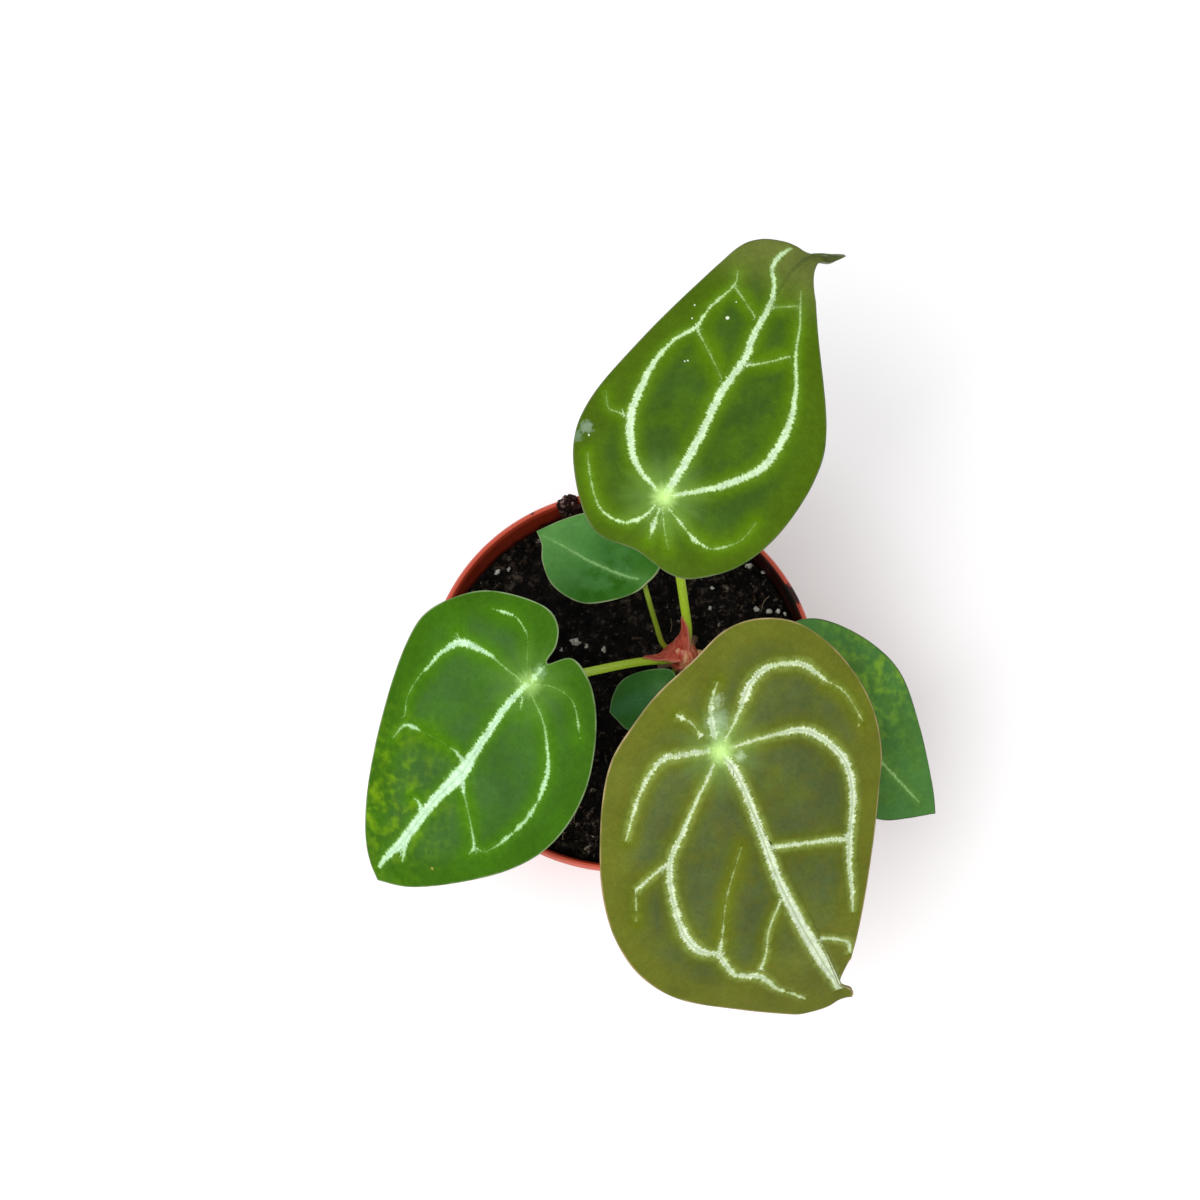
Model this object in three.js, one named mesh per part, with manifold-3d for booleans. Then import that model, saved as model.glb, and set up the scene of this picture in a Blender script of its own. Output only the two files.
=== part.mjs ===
// A young velvet-leaved anthurium in a round plastic nursery pot.
// Millimetres, +Z up. The origin is on the pot's axis, at the level of the surface it stands on.
// +Y points away from the side where the largest leaf hangs over the rim.

import * as THREE from 'three';
import { mergeVertices } from 'three/addons/utils/BufferGeometryUtils.js';
import Module from 'manifold-3d';

const wasm = await Module();
wasm.setup();

// Driving dimensions of the pot
const POT_HEIGHT = 92;
const RIM_RADIUS = 53;
const RIM_WIDTH = 1.9;
const COLLAR_HEIGHT = 11;
const COLLAR_STEP = 1.8;
const BASE_RADIUS = 38;
const WALL = 1.5;
const FOOT_RISE = 2;
const CENTRE_PAD_RADIUS = 11;
const FOOT_RING_INNER = 32;
const POT_SEGMENTS = 48;
const DRAIN_HOLES = 6;
const DRAIN_RADIUS = 4;
const DRAIN_CIRCLE = 22;

// Driving dimensions of the soil
const SOIL_LEVEL = 80.6;
const SOIL_RISE_RIGHT = 1.0;
const SOIL_BANK = 4.8;
const BANK_FOOT_RADIUS = 34;
const BANK_DIP_ANGLE = 124;
const BANK_DIP_WIDTH = 18;
const BANK_DIP_SHARE = 0.35;
const SOIL_SPOKES = 36;
const SOIL_RINGS = 7;
const PERLITE_GRAINS = 58;
const BARK_CRUMBS = 18;
const GRAIN_SEED = 41;
const GRAIN_REACH = 46;
const BARK_LIFT = 0.1;
const PERLITE_LIFT = 0.35;
const SCATTER_BACK_EDGE = 6;

// Perlite grains that lie in the open behind the crown: place from the pot's middle, and size
const OPEN_PERLITE = [
  [-34.7, 31.6, 1.2], [-31.6, 32.3, 0.8], [-23.5, 30.8, 1.0], [-25.4, 27.5, 1.0], [-17, 23.1, 0.7],
  [-20.4, 22.6, 0.8], [-17.3, 18.2, 0.8], [-12.8, 11.5, 1.4], [-9.7, 10.5, 1.1], [-16.7, 9.4, 1.2],
  [-0.3, 10, 0.9], [-5, 9.3, 0.9], [10.4, 26, 0.8], [24.5, 21.2, 0.7], [29.8, 20.9, 0.7],
  [25.2, 26.8, 0.7], [35.4, 32.5, 1.2], [39.1, 30.5, 0.7], [37.2, 20.6, 1.0], [40.6, 19.5, 0.9],
  [43.1, 19.4, 0.8], [44.9, 18.5, 0.7],
];

// Driving dimensions of the plant
const GAP = 0.3;
const BLADE_THICKNESS = 0.7;
const JOINT_DIMPLE = 1.0;
const DIMPLE_RADIUS = 5;
const MIDRIB_STEP = 0.5;
const CROWN_X = 17;
const CROWN_Y = 7;
const CROWN_TOP = 92;
const CROWN_FOOT = 64;
const CROWN_RADIUS = 4.1;
const CROWN_SIDES = 12;
const PETIOLE_SIDES = 8;
const PETIOLE_STEPS = 14;
const SHEATH_THICKNESS = 0.7;
const SHEATH_ROWS = 7;
const SHEATH_COLUMNS = 6;
const SHEATH_FADE = 3;

const UP = new THREE.Vector3(0, 0, 1);

// Every leaf has a joint, where its stalk meets the blade from below. The blade is drawn flat, as an
// outline of points ahead of the joint along the midrib, and to the left of it, starting at the tip.
// heading is the midrib's direction seen from above, pitch how far it points down, roll its lean.
// Each bend is a stretch of the midrib, from and to, with the pitch and the heading added along it.
// The mesh has rings round the joint and spokes out of it. fan, from 0 to 1, spreads crowded spokes.
// stalk lists the points that the stalk runs through, from the crown up to the last one below the joint.
const LEAVES = {
  back: {
    joint: [9, 25.5, 165],
    heading: 63,
    pitch: -5,
    roll: 3,
    cup: -0.002,
    wave: 0.5,
    waves: 7,
    rings: 6,
    fan: 0.2,
    bends: [[0, 60, 10, 0], [0, -20, -4, 0], [62, 78, 35, -20], [76, 92, -15, -55], [84, 91, 0, 30]],
    outline: [
      [90, -2.2], [85, -2], [80, -1.6], [77, -0.2], [75, 2], [72.5, 5.5], [69.5, 10], [65, 13],
      [52, 17], [32, 22.6], [14, 26.5], [2, 25], [-9.5, 17.5], [-15, 10], [-14.5, 0], [-16, -9],
      [-14.5, -15], [-7, -23], [4.5, -28], [20.5, -29.8], [33, -26.8], [54, -14.7], [67, -8],
      [74, -5], [78, -4.3], [83, -3.9], [87, -3],
    ],
    stalk: [[17.2, 8.6, 86.5], [17.4, 10.6, 98], [15.6, 14.6, 116], [12.4, 20.4, 141]],
    stalkRadius: 1.2,
    colour: 0x4f7a1c,
  },
  left: {
    joint: [-23, -16, 150],
    heading: -131,
    pitch: 20,
    roll: 4,
    cup: -0.002,
    wave: 0.5,
    waves: 6,
    rings: 6,
    fan: 0,
    bends: [[0, 70, 26, 0], [0, -20, -4, 0]],
    outline: [
      [68, -1.7], [62, 6], [53, 14], [41, 22.5], [30, 27.3], [20, 28.4], [11, 26.8], [3, 23], [-5, 17.2],
      [-10, 11], [-11.3, 4.5], [-6.3, 0.4], [-11, -0.4], [-15, -3], [-16.5, -8], [-14, -16],
      [-9.5, -23.5], [-3, -28.5], [3.5, -31.3], [10, -31.6], [20, -29.2], [34, -23.8], [50, -16.5],
      [61, -10.3], [66, -6],
    ],
    stalk: [[14.4, 6.2, 85.5], [11.2, 4.2, 92], [4.9, 0.9, 103.5], [-8.4, -7.6, 127.5]],
    stalkRadius: 1.1,
    colour: 0x4b7a22,
  },
  front: {
    joint: [21, -36, 168],
    heading: -56,
    pitch: 26,
    roll: 0,
    cup: -0.002,
    wave: 0.6,
    waves: 6,
    rings: 6,
    fan: 0.1,
    bends: [[0, 78, 28, 0], [0, -25, -4, 0]],
    outline: [
      [80.4, 0.8], [74.6, -0.3], [66, 5], [50, 15.5], [33, 27], [23, 33.5], [11, 36.5], [-2.5, 35.5],
      [-14, 31], [-20.5, 23.5], [-22.7, 15], [-21, 5], [-19.5, -5], [-17, -12.5], [-12.5, -21.5], [-5, -28.5],
      [6, -35.5], [15, -39.7], [25, -42], [37, -41.5], [49.5, -36.5], [62, -25.8], [72, -15.5], [78.2, -5.5],
    ],
    stalk: [[18, 3.9, 86], [20.6, -0.6, 97], [23.4, -13, 124], [22.8, -27, 150]],
    stalkRadius: 1.25,
    colour: 0x6b6f2b,
  },
  right: {
    joint: [44, -6.5, 125],
    heading: -42,
    pitch: 18,
    roll: 0,
    cup: -0.001,
    wave: 0.4,
    waves: 5,
    rings: 6,
    fan: 0,
    bends: [[0, 55, 20, 0]],
    outline: [
      [56, 1], [47.5, 6], [35, 13], [21.5, 18.4], [9.5, 18.4], [-2, 14.8], [-8.5, 9], [-10, 0],
      [-7, -10], [2, -16], [15, -19], [30, -17.5], [43, -12], [50, -6],
    ],
    stalk: [[20.6, 7.6, 85.5], [25.4, 5.2, 93], [33.5, 1, 106]],
    stalkRadius: 0.95,
    colour: 0x456428,
  },
  small_back: {
    joint: [5.2, 21.5, 112],
    heading: 151,
    pitch: 6,
    roll: 0,
    cup: -0.004,
    wave: 0.2,
    waves: 4,
    rings: 4,
    fan: 0,
    bends: [[0, 34, 14, 0]],
    outline: [
      [33, 0.5], [29.5, 3.4], [27, 7.5], [22, 11.8], [16, 13.5], [10, 13], [4, 9], [0, 4.5], [-1.5, 0.5],
      [-2.5, -4], [-1, -8.5], [5, -12.5], [14, -13], [22, -10.5], [28, -5.5],
    ],
    stalk: [[14, 9, 83.5], [11.2, 9.8, 87.5], [9, 13.8, 94.5], [6.9, 18, 103]],
    stalkRadius: 0.72,
    colour: 0x3f6a35,
  },
  small_low: {
    joint: [10, -5, 98],
    heading: -160,
    pitch: 4,
    roll: 0,
    cup: -0.004,
    wave: 0.15,
    waves: 4,
    rings: 4,
    fan: 0,
    bends: [[0, 14, 10, 0]],
    outline: [
      [15, 1], [14, 3.5], [12, 7.5], [7, 10.5], [1, 10], [-4, 5], [-5, 0], [-4, -4], [2, -6],
      [8.5, -5.8], [12.7, -2.7],
    ],
    stalk: [[14.6, 3.8, 83], [13.4, 1, 87.5], [11.2, -3, 92.5]],
    stalkRadius: 0.65,
    colour: 0x35593a,
  },
};

// The two pointed sheaths round the crown. Each follows the foot of a stalk on the side that it faces.
// wrapAtFoot and wrapAtTip are half of the angle that it wraps there. The second lies outside the first.
const SHEATHS = {
  cataphyll_back: {
    spine: [[17, 7, 84], [17.2, 8.2, 91], [16.6, 11, 100], [15.6, 13.2, 108.5]],
    facing: [-0.9, -0.5, 0.1],
    radiusAtFoot: 4.6,
    radiusAtTip: 1.7,
    wrapAtFoot: 80,
    wrapAtTip: 16,
  },
  cataphyll_side: {
    spine: [[16.6, 6.8, 83.5], [13, 5.4, 90], [8.8, 3.1, 97.3], [4.9, 0.9, 104]],
    facing: [-0.3, 0.7, 0.8],
    radiusAtFoot: 5.7,
    radiusAtTip: 1.6,
    wrapAtFoot: 70,
    wrapAtTip: 16,
  },
};

// Short thick roots that leave the crown's foot and dive into the soil
const BRACE_ROOTS = [
  { angle: 200, reach: 9 },
  { angle: 318, reach: 8 },
  { angle: 62, reach: 8.5 },
];
const ROOT_RADIUS = 1.1;

function radians(degrees) {
  return THREE.MathUtils.degToRad(degrees);
}

function vectors(rows) {
  return rows.map((row) => new THREE.Vector3(...row));
}

// Repeatable random numbers from 0 to 1
function seededRandom(seed) {
  let state = seed;
  return () => {
    state = (state + 0x6d2b79f5) | 0;
    let t = Math.imul(state ^ (state >>> 15), 1 | state);
    t = (t + Math.imul(t ^ (t >>> 7), 61 | t)) ^ t;
    return ((t ^ (t >>> 14)) >>> 0) / 4294967296;
  };
}

// Merges a geometry's shared vertices, drops collapsed triangles and turns its faces outwards
function closed(geometry) {
  const bare = geometry.clone();
  bare.deleteAttribute('normal');
  bare.deleteAttribute('uv');
  const merged = mergeVertices(bare, 1e-3);
  const place = merged.attributes.position;
  const triangles = [];
  const corner = [new THREE.Vector3(), new THREE.Vector3(), new THREE.Vector3()];
  let volume = 0;
  for (let i = 0; i < merged.index.count; i += 3) {
    const [a, b, c] = [0, 1, 2].map((k) => merged.index.getX(i + k));
    if (a !== b && b !== c && c !== a) {
      triangles.push([a, b, c]);
      [a, b, c].forEach((vertex, k) => corner[k].fromBufferAttribute(place, vertex));
      volume += corner[0].dot(corner[1].clone().cross(corner[2]));
    }
  }
  if (volume < 0) {
    triangles.forEach((triangle) => triangle.reverse());
  }
  merged.setIndex(triangles.flat());
  return merged;
}

function solid(geometry) {
  const shape = closed(geometry);
  return new wasm.Manifold(new wasm.Mesh({
    numProp: 3,
    vertProperties: new Float32Array(shape.attributes.position.array),
    triVerts: new Uint32Array(shape.index.array),
  }));
}

// The largest body of a solid, without the loose scraps that a cut can leave
function geometryOf(body) {
  const pieces = body.decompose();
  pieces.sort((a, b) => b.volume() - a.volume());
  const mesh = pieces[0].getMesh();
  const geometry = new THREE.BufferGeometry();
  geometry.setAttribute('position', new THREE.BufferAttribute(new Float32Array(mesh.vertProperties), 3));
  geometry.setIndex(new THREE.BufferAttribute(new Uint32Array(mesh.triVerts), 1));
  return geometry;
}

// Turns an outline of radius and height round the Z axis
function turned(profile, segments) {
  const points = profile.map(([radius, height]) => new THREE.Vector2(radius, height));
  return new THREE.LatheGeometry(points, segments).rotateX(Math.PI / 2);
}

// A closed round bar that follows a curve, with a radius for each place from 0 to 1 along it
function bar(curve, radiusAt, sides, steps) {
  const geometry = closed(new THREE.CylinderGeometry(1, 1, 1, sides, steps));
  const frames = curve.computeFrenetFrames(steps, false);
  const place = geometry.attributes.position;
  for (let i = 0; i < place.count; i += 1) {
    const along = THREE.MathUtils.clamp(place.getY(i) + 0.5, 0, 1);
    const step = Math.round(along * steps);
    const radius = radiusAt(along);
    const point = curve.getPointAt(along);
    point.addScaledVector(frames.normals[step], place.getX(i) * radius);
    point.addScaledVector(frames.binormals[step], place.getZ(i) * radius);
    place.setXYZ(i, point.x, point.y, point.z);
  }
  return closed(geometry);
}

// A leaf blade: its midrib as a walk through space, and the surface hung on it
class Blade {
  constructor(leaf) {
    this.leaf = leaf;
    this.ahead = this.walk(1);
    this.behind = this.walk(-1);
  }

  // The directions along the midrib, to its left and out of the upper face
  frame(u) {
    let pitch = this.leaf.pitch;
    let heading = this.leaf.heading;
    for (const [from, to, pitchAdded, headingAdded] of this.leaf.bends) {
      const share = THREE.MathUtils.clamp((u - from) / (to - from), 0, 1);
      pitch += pitchAdded * share;
      heading += headingAdded * share;
    }
    const p = radians(pitch);
    const h = radians(heading);
    const along = new THREE.Vector3(Math.cos(h) * Math.cos(p), Math.sin(h) * Math.cos(p), -Math.sin(p));
    const left = new THREE.Vector3(-Math.sin(h), Math.cos(h), 0);
    const up = along.clone().cross(left);
    left.applyAxisAngle(along, radians(this.leaf.roll));
    up.applyAxisAngle(along, radians(this.leaf.roll));
    return { along, left, up };
  }

  walk(sign) {
    const place = new THREE.Vector3(...this.leaf.joint);
    const stations = [{ place: place.clone(), ...this.frame(0) }];
    const reach = Math.max(...this.leaf.outline.map(([u]) => Math.abs(u))) + 4;
    for (let u = MIDRIB_STEP; u < reach; u += MIDRIB_STEP) {
      place.addScaledVector(this.frame(sign * (u - MIDRIB_STEP / 2)).along, sign * MIDRIB_STEP);
      stations.push({ place: place.clone(), ...this.frame(sign * u) });
    }
    return stations;
  }

  // A point u ahead of the joint, v to the left of the midrib and lift above the middle of the blade
  point(u, v, lift) {
    const stations = u >= 0 ? this.ahead : this.behind;
    const index = Math.min(Math.abs(u) / MIDRIB_STEP, stations.length - 1.001);
    const from = stations[Math.floor(index)];
    const to = stations[Math.floor(index) + 1];
    const share = index - Math.floor(index);
    const left = from.left.clone().lerp(to.left, share);
    const up = from.up.clone().lerp(to.up, share);
    const dimple = JOINT_DIMPLE * Math.exp(-(u * u + v * v) / DIMPLE_RADIUS ** 2);
    const place = from.place.clone().lerp(to.place, share);
    place.addScaledVector(left, v);
    place.addScaledVector(up, this.leaf.cup * v * v - dimple + lift);
    return place;
  }

  // Every outline point and the one half way to the next, in order round the margin
  margin() {
    const rows = [...this.leaf.outline, this.leaf.outline[0]];
    const line = new THREE.CatmullRomCurve3(
      rows.map(([u, v]) => new THREE.Vector3(u, v, 0)), false, 'catmullrom', 0.5);
    const count = 2 * this.leaf.outline.length;
    return Array.from({ length: count }, (_, i) => line.getPoint(i / count));
  }

  // The margin point of every spoke as a distance and an angle, with the angle at which the spoke starts
  spokes() {
    const margin = this.margin();
    const next = (i) => margin[(i + 1) % margin.length];
    const lengths = margin.map((place, i) => place.distanceTo(next(i)));
    const total = lengths.reduce((sum, length) => sum + length, 0);
    let walked = 0;
    let angle = Math.atan2(margin[0].y, margin[0].x);
    const spokes = margin.map((place, i) => {
      const spoke = { reach: place.length(), angle, even: 2 * Math.PI * walked / total };
      walked += lengths[i];
      angle += Math.atan2(place.x * next(i).y - place.y * next(i).x, place.dot(next(i)));
      return spoke;
    });
    const lag = spokes.reduce((sum, spoke, i) => sum + (spoke.angle - spoke.even) * lengths[i], 0) / total;
    return spokes.map((spoke) => {
      const start = THREE.MathUtils.lerp(spoke.angle, spoke.even + lag, this.leaf.fan);
      return { ...spoke, start };
    });
  }

  // Rings of the margin shrunk towards the joint, on both faces, split into triangles alike
  geometry() {
    const margin = this.spokes();
    const spokes = margin.length;
    const rings = this.leaf.rings;
    const places = [];
    for (const face of [1, -1]) {
      const lift = face * BLADE_THICKNESS / 2;
      places.push(this.point(0, 0, lift));
      for (let ring = 1; ring <= rings; ring += 1) {
        const share = ring / rings;
        for (let i = 0; i < spokes; i += 1) {
          const turn = 2 * Math.PI * i / spokes;
          const wave = this.leaf.wave * share ** 3 * Math.sin(this.leaf.waves * turn);
          const angle = THREE.MathUtils.lerp(margin[i].start, margin[i].angle, share);
          const reach = margin[i].reach * share;
          places.push(this.point(reach * Math.cos(angle), reach * Math.sin(angle), lift + wave));
        }
      }
    }
    const perFace = 1 + rings * spokes;
    const at = (face, ring, i) => face * perFace + (ring === 0 ? 0 : 1 + (ring - 1) * spokes + i % spokes);
    const triangles = [];
    for (let i = 0; i < spokes; i += 1) {
      triangles.push(at(0, 0, i), at(0, 1, i), at(0, 1, i + 1));
      triangles.push(at(1, 0, i), at(1, 1, i + 1), at(1, 1, i));
      for (let ring = 1; ring < rings; ring += 1) {
        triangles.push(at(0, ring, i), at(0, ring + 1, i), at(0, ring + 1, i + 1));
        triangles.push(at(0, ring, i), at(0, ring + 1, i + 1), at(0, ring, i + 1));
        triangles.push(at(1, ring, i), at(1, ring + 1, i + 1), at(1, ring + 1, i));
        triangles.push(at(1, ring, i), at(1, ring, i + 1), at(1, ring + 1, i + 1));
      }
      triangles.push(at(0, rings, i), at(1, rings, i), at(1, rings, i + 1));
      triangles.push(at(0, rings, i), at(1, rings, i + 1), at(0, rings, i + 1));
    }
    const geometry = new THREE.BufferGeometry().setFromPoints(places);
    geometry.setIndex(triangles);
    return closed(geometry);
  }
}

// The stalk's curve: up from the crown, then square on to the underside of the blade
function stalkCurve(leaf, blade) {
  const under = BLADE_THICKNESS / 2 + GAP;
  const rows = vectors(leaf.stalk);
  rows.push(blade.point(0, 0, -under - 4.5 * Math.sqrt(leaf.stalkRadius)));
  rows.push(blade.point(0, 0, -under));
  return new THREE.CatmullRomCurve3(rows, false, 'centripetal');
}

// A stalk is thicker at its sheathing foot and at the joint that turns the blade
function stalkRadiusAt(leaf, extra) {
  return (along) => {
    const foot = 0.35 * Math.exp(-along / 0.08);
    const knee = 0.28 * Math.exp(-(((along - 0.97) / 0.035) ** 2));
    return leaf.stalkRadius * (1 + foot + knee) + extra;
  };
}

function stalk(leaf, blade, extra = 0) {
  return bar(stalkCurve(leaf, blade), stalkRadiusAt(leaf, extra), PETIOLE_SIDES, PETIOLE_STEPS);
}

// The crown is a short ringed stem with a rounded top
function crownBody(extra) {
  const top = CROWN_TOP + extra;
  const foot = CROWN_FOOT - extra;
  const profile = [
    [0, foot],
    [CROWN_RADIUS * 0.55 + extra, foot + 0.6],
    [CROWN_RADIUS * 0.95 + extra, foot + 6],
    [CROWN_RADIUS * 1.15 + extra, SOIL_LEVEL - 4],
    [CROWN_RADIUS * 1.12 + extra, SOIL_LEVEL + 1],
    [CROWN_RADIUS * 0.98 + extra, SOIL_LEVEL + 3],
    [CROWN_RADIUS * 1.04 + extra, SOIL_LEVEL + 4.4],
    [CROWN_RADIUS * 0.9 + extra, SOIL_LEVEL + 6.2],
    [CROWN_RADIUS * 0.94 + extra, SOIL_LEVEL + 7.4],
    [CROWN_RADIUS * 0.78 + extra, top - 2.2],
    [CROWN_RADIUS * 0.45 + extra, top - 0.6],
    [0, top],
  ];
  return solid(turned(profile, CROWN_SIDES).translate(CROWN_X, CROWN_Y, 0));
}

function rootBody({ angle, reach }, extra) {
  const out = new THREE.Vector3(Math.cos(radians(angle)), Math.sin(radians(angle)), 0);
  const start = new THREE.Vector3(CROWN_X, CROWN_Y, SOIL_LEVEL + 3.4);
  const line = [
    start.clone().addScaledVector(out, 1.6),
    start.clone().addScaledVector(out, CROWN_RADIUS + 0.8).addScaledVector(UP, -0.2),
    start.clone().addScaledVector(out, reach * 0.82).addScaledVector(UP, -2.6),
    start.clone().addScaledVector(out, reach).addScaledVector(UP, -9),
  ];
  const curve = new THREE.CatmullRomCurve3(line, false, 'centripetal');
  return solid(bar(curve, (along) => ROOT_RADIUS * (1.25 - 0.5 * along) + extra, 6, 6));
}

function crownWithRoots(extra) {
  return BRACE_ROOTS.reduce((body, root) => body.add(rootBody(root, extra)), crownBody(extra));
}

// A pointed sheath: an arc swept along its spine, narrowing to a tip, with an even thickness
function sheathBody(sheath, extra = 0) {
  const spine = new THREE.CatmullRomCurve3(vectors(sheath.spine), false, 'centripetal');
  const rows = SHEATH_ROWS;
  const columns = SHEATH_COLUMNS;
  const places = [];
  for (const face of [1, 0]) {
    for (let row = 0; row <= rows; row += 1) {
      const along = row / rows;
      const middle = spine.getPointAt(along);
      const tangent = spine.getTangentAt(along);
      const out = new THREE.Vector3(...sheath.facing);
      out.addScaledVector(tangent, -out.dot(tangent)).normalize();
      const flare = (1 - along) ** SHEATH_FADE;
      const radius = THREE.MathUtils.lerp(sheath.radiusAtTip, sheath.radiusAtFoot, flare);
      const wrap = 8 * extra + THREE.MathUtils.lerp(sheath.wrapAtFoot, sheath.wrapAtTip, along ** 1.5);
      for (let column = 0; column <= columns; column += 1) {
        const angle = radians(wrap * (2 * column / columns - 1));
        const spoke = out.clone().applyAxisAngle(tangent, angle);
        const lift = face === 1 ? SHEATH_THICKNESS + extra : -extra;
        places.push(middle.clone().addScaledVector(spoke, radius + lift));
      }
    }
  }
  const perFace = (rows + 1) * (columns + 1);
  const at = (face, row, column) => face * perFace + row * (columns + 1) + column;
  const triangles = [];
  const patch = (a, b, c, d) => triangles.push(a, b, c, a, c, d);
  for (let row = 0; row < rows; row += 1) {
    for (let column = 0; column < columns; column += 1) {
      patch(at(0, row, column), at(0, row, column + 1), at(0, row + 1, column + 1), at(0, row + 1, column));
      triangles.push(at(1, row, column), at(1, row + 1, column + 1), at(1, row, column + 1));
      triangles.push(at(1, row, column), at(1, row + 1, column), at(1, row + 1, column + 1));
    }
    patch(at(0, row, 0), at(0, row + 1, 0), at(1, row + 1, 0), at(1, row, 0));
    patch(at(0, row, columns), at(1, row, columns), at(1, row + 1, columns), at(0, row + 1, columns));
  }
  for (let column = 0; column < columns; column += 1) {
    patch(at(0, 0, column), at(1, 0, column), at(1, 0, column + 1), at(0, 0, column + 1));
    patch(at(0, rows, column), at(0, rows, column + 1), at(1, rows, column + 1), at(1, rows, column));
  }
  const geometry = new THREE.BufferGeometry().setFromPoints(places);
  geometry.setIndex(triangles);
  return solid(geometry);
}

// The inside radius of the pot's wall at a height, below the collar
function insideRadius(height) {
  const outside = THREE.MathUtils.mapLinear(height, 0, POT_HEIGHT - COLLAR_HEIGHT, BASE_RADIUS, wallTop());
  return outside - WALL;
}

// The outside radius of the plain wall where it meets the collar
function wallTop() {
  return RIM_RADIUS - COLLAR_STEP - 1.6;
}

// The pot's inner face from its floor up to the rim, moved inwards by a clearance
function innerFace(clearance) {
  const collarFoot = POT_HEIGHT - COLLAR_HEIGHT;
  const floorEdge = FOOT_RISE + WALL;
  const rimInside = RIM_RADIUS - RIM_WIDTH;
  return [
    [insideRadius(floorEdge) - 1.6 - clearance, floorEdge + clearance],
    [insideRadius(floorEdge + 1.6) - clearance, floorEdge + 1.6 + clearance],
    [insideRadius(collarFoot - 1.5) - clearance, collarFoot - 1.5 + clearance / 2],
    [rimInside - 0.9 - clearance, collarFoot + 1 + clearance / 2],
    [rimInside - 0.2 - clearance, POT_HEIGHT - 1],
  ];
}

function potShell() {
  const collarFoot = POT_HEIGHT - COLLAR_HEIGHT;
  const raised = FOOT_RISE + WALL;
  const outer = [
    [0, 0],
    [CENTRE_PAD_RADIUS, 0],
    [CENTRE_PAD_RADIUS + 1.5, FOOT_RISE],
    [FOOT_RING_INNER, FOOT_RISE],
    [FOOT_RING_INNER + 1.2, 0],
    [BASE_RADIUS - 0.8, 0],
    [BASE_RADIUS + 0.2, 1.2],
    [wallTop(), collarFoot],
    [wallTop() + COLLAR_STEP, collarFoot + 0.8],
    [RIM_RADIUS, POT_HEIGHT - 0.8],
    [RIM_RADIUS - 0.5, POT_HEIGHT],
    [RIM_RADIUS - RIM_WIDTH + 0.5, POT_HEIGHT],
  ];
  const inner = [
    ...innerFace(0).reverse(),
    [CENTRE_PAD_RADIUS + 2.1, raised],
    [CENTRE_PAD_RADIUS + 0.6, WALL],
    [0, WALL],
  ];
  let body = solid(turned([...outer, ...inner], POT_SEGMENTS));
  for (let i = 0; i < DRAIN_HOLES; i += 1) {
    const angle = 2 * Math.PI * i / DRAIN_HOLES;
    const punch = new THREE.CylinderGeometry(DRAIN_RADIUS, DRAIN_RADIUS, 12, 14).rotateX(Math.PI / 2);
    punch.translate(DRAIN_CIRCLE * Math.cos(angle), DRAIN_CIRCLE * Math.sin(angle), FOOT_RISE);
    body = body.subtract(solid(punch));
  }
  return body;
}

// How far the soil is banked up towards the wall. The bank dips on one side, where the wall shows.
function soilBank(x, y) {
  const up = THREE.MathUtils.smoothstep(Math.hypot(x, y), BANK_FOOT_RADIUS, RIM_RADIUS - RIM_WIDTH);
  const turn = (Math.atan2(y, x) - radians(BANK_DIP_ANGLE)) / radians(BANK_DIP_WIDTH);
  return SOIL_BANK * up * (1 - BANK_DIP_SHARE * Math.exp(-(turn ** 2)));
}

// The soil's surface: mounded round the crown, banked towards the wall and lumpy all over
function soilHeight(x, y) {
  const slope = SOIL_RISE_RIGHT * x / RIM_RADIUS - 0.5 * y / RIM_RADIUS;
  const fromCrown = Math.hypot(x - CROWN_X, y - CROWN_Y);
  const mound = 1.3 * Math.exp(-((fromCrown / 11) ** 2));
  const lumps = 0.8 * Math.sin(x * 0.31 + 1.3) * Math.cos(y * 0.27 - 0.4)
    + 0.5 * Math.sin(x * 0.71 + y * 0.53) + 0.35 * Math.sin(y * 1.13 - x * 0.47 + 2);
  return SOIL_LEVEL + slope + mound + lumps + soilBank(x, y);
}

function grain(random, x, y, size, lift) {
  const lump = new THREE.IcosahedronGeometry(size, 0);
  lump.scale(1, 0.7 + 0.3 * random(), 0.6 + 0.3 * random());
  lump.rotateX(random() * Math.PI);
  lump.rotateZ(random() * Math.PI);
  lump.translate(x, y, soilHeight(x, y) + lift * size);
  return solid(lump);
}

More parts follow.
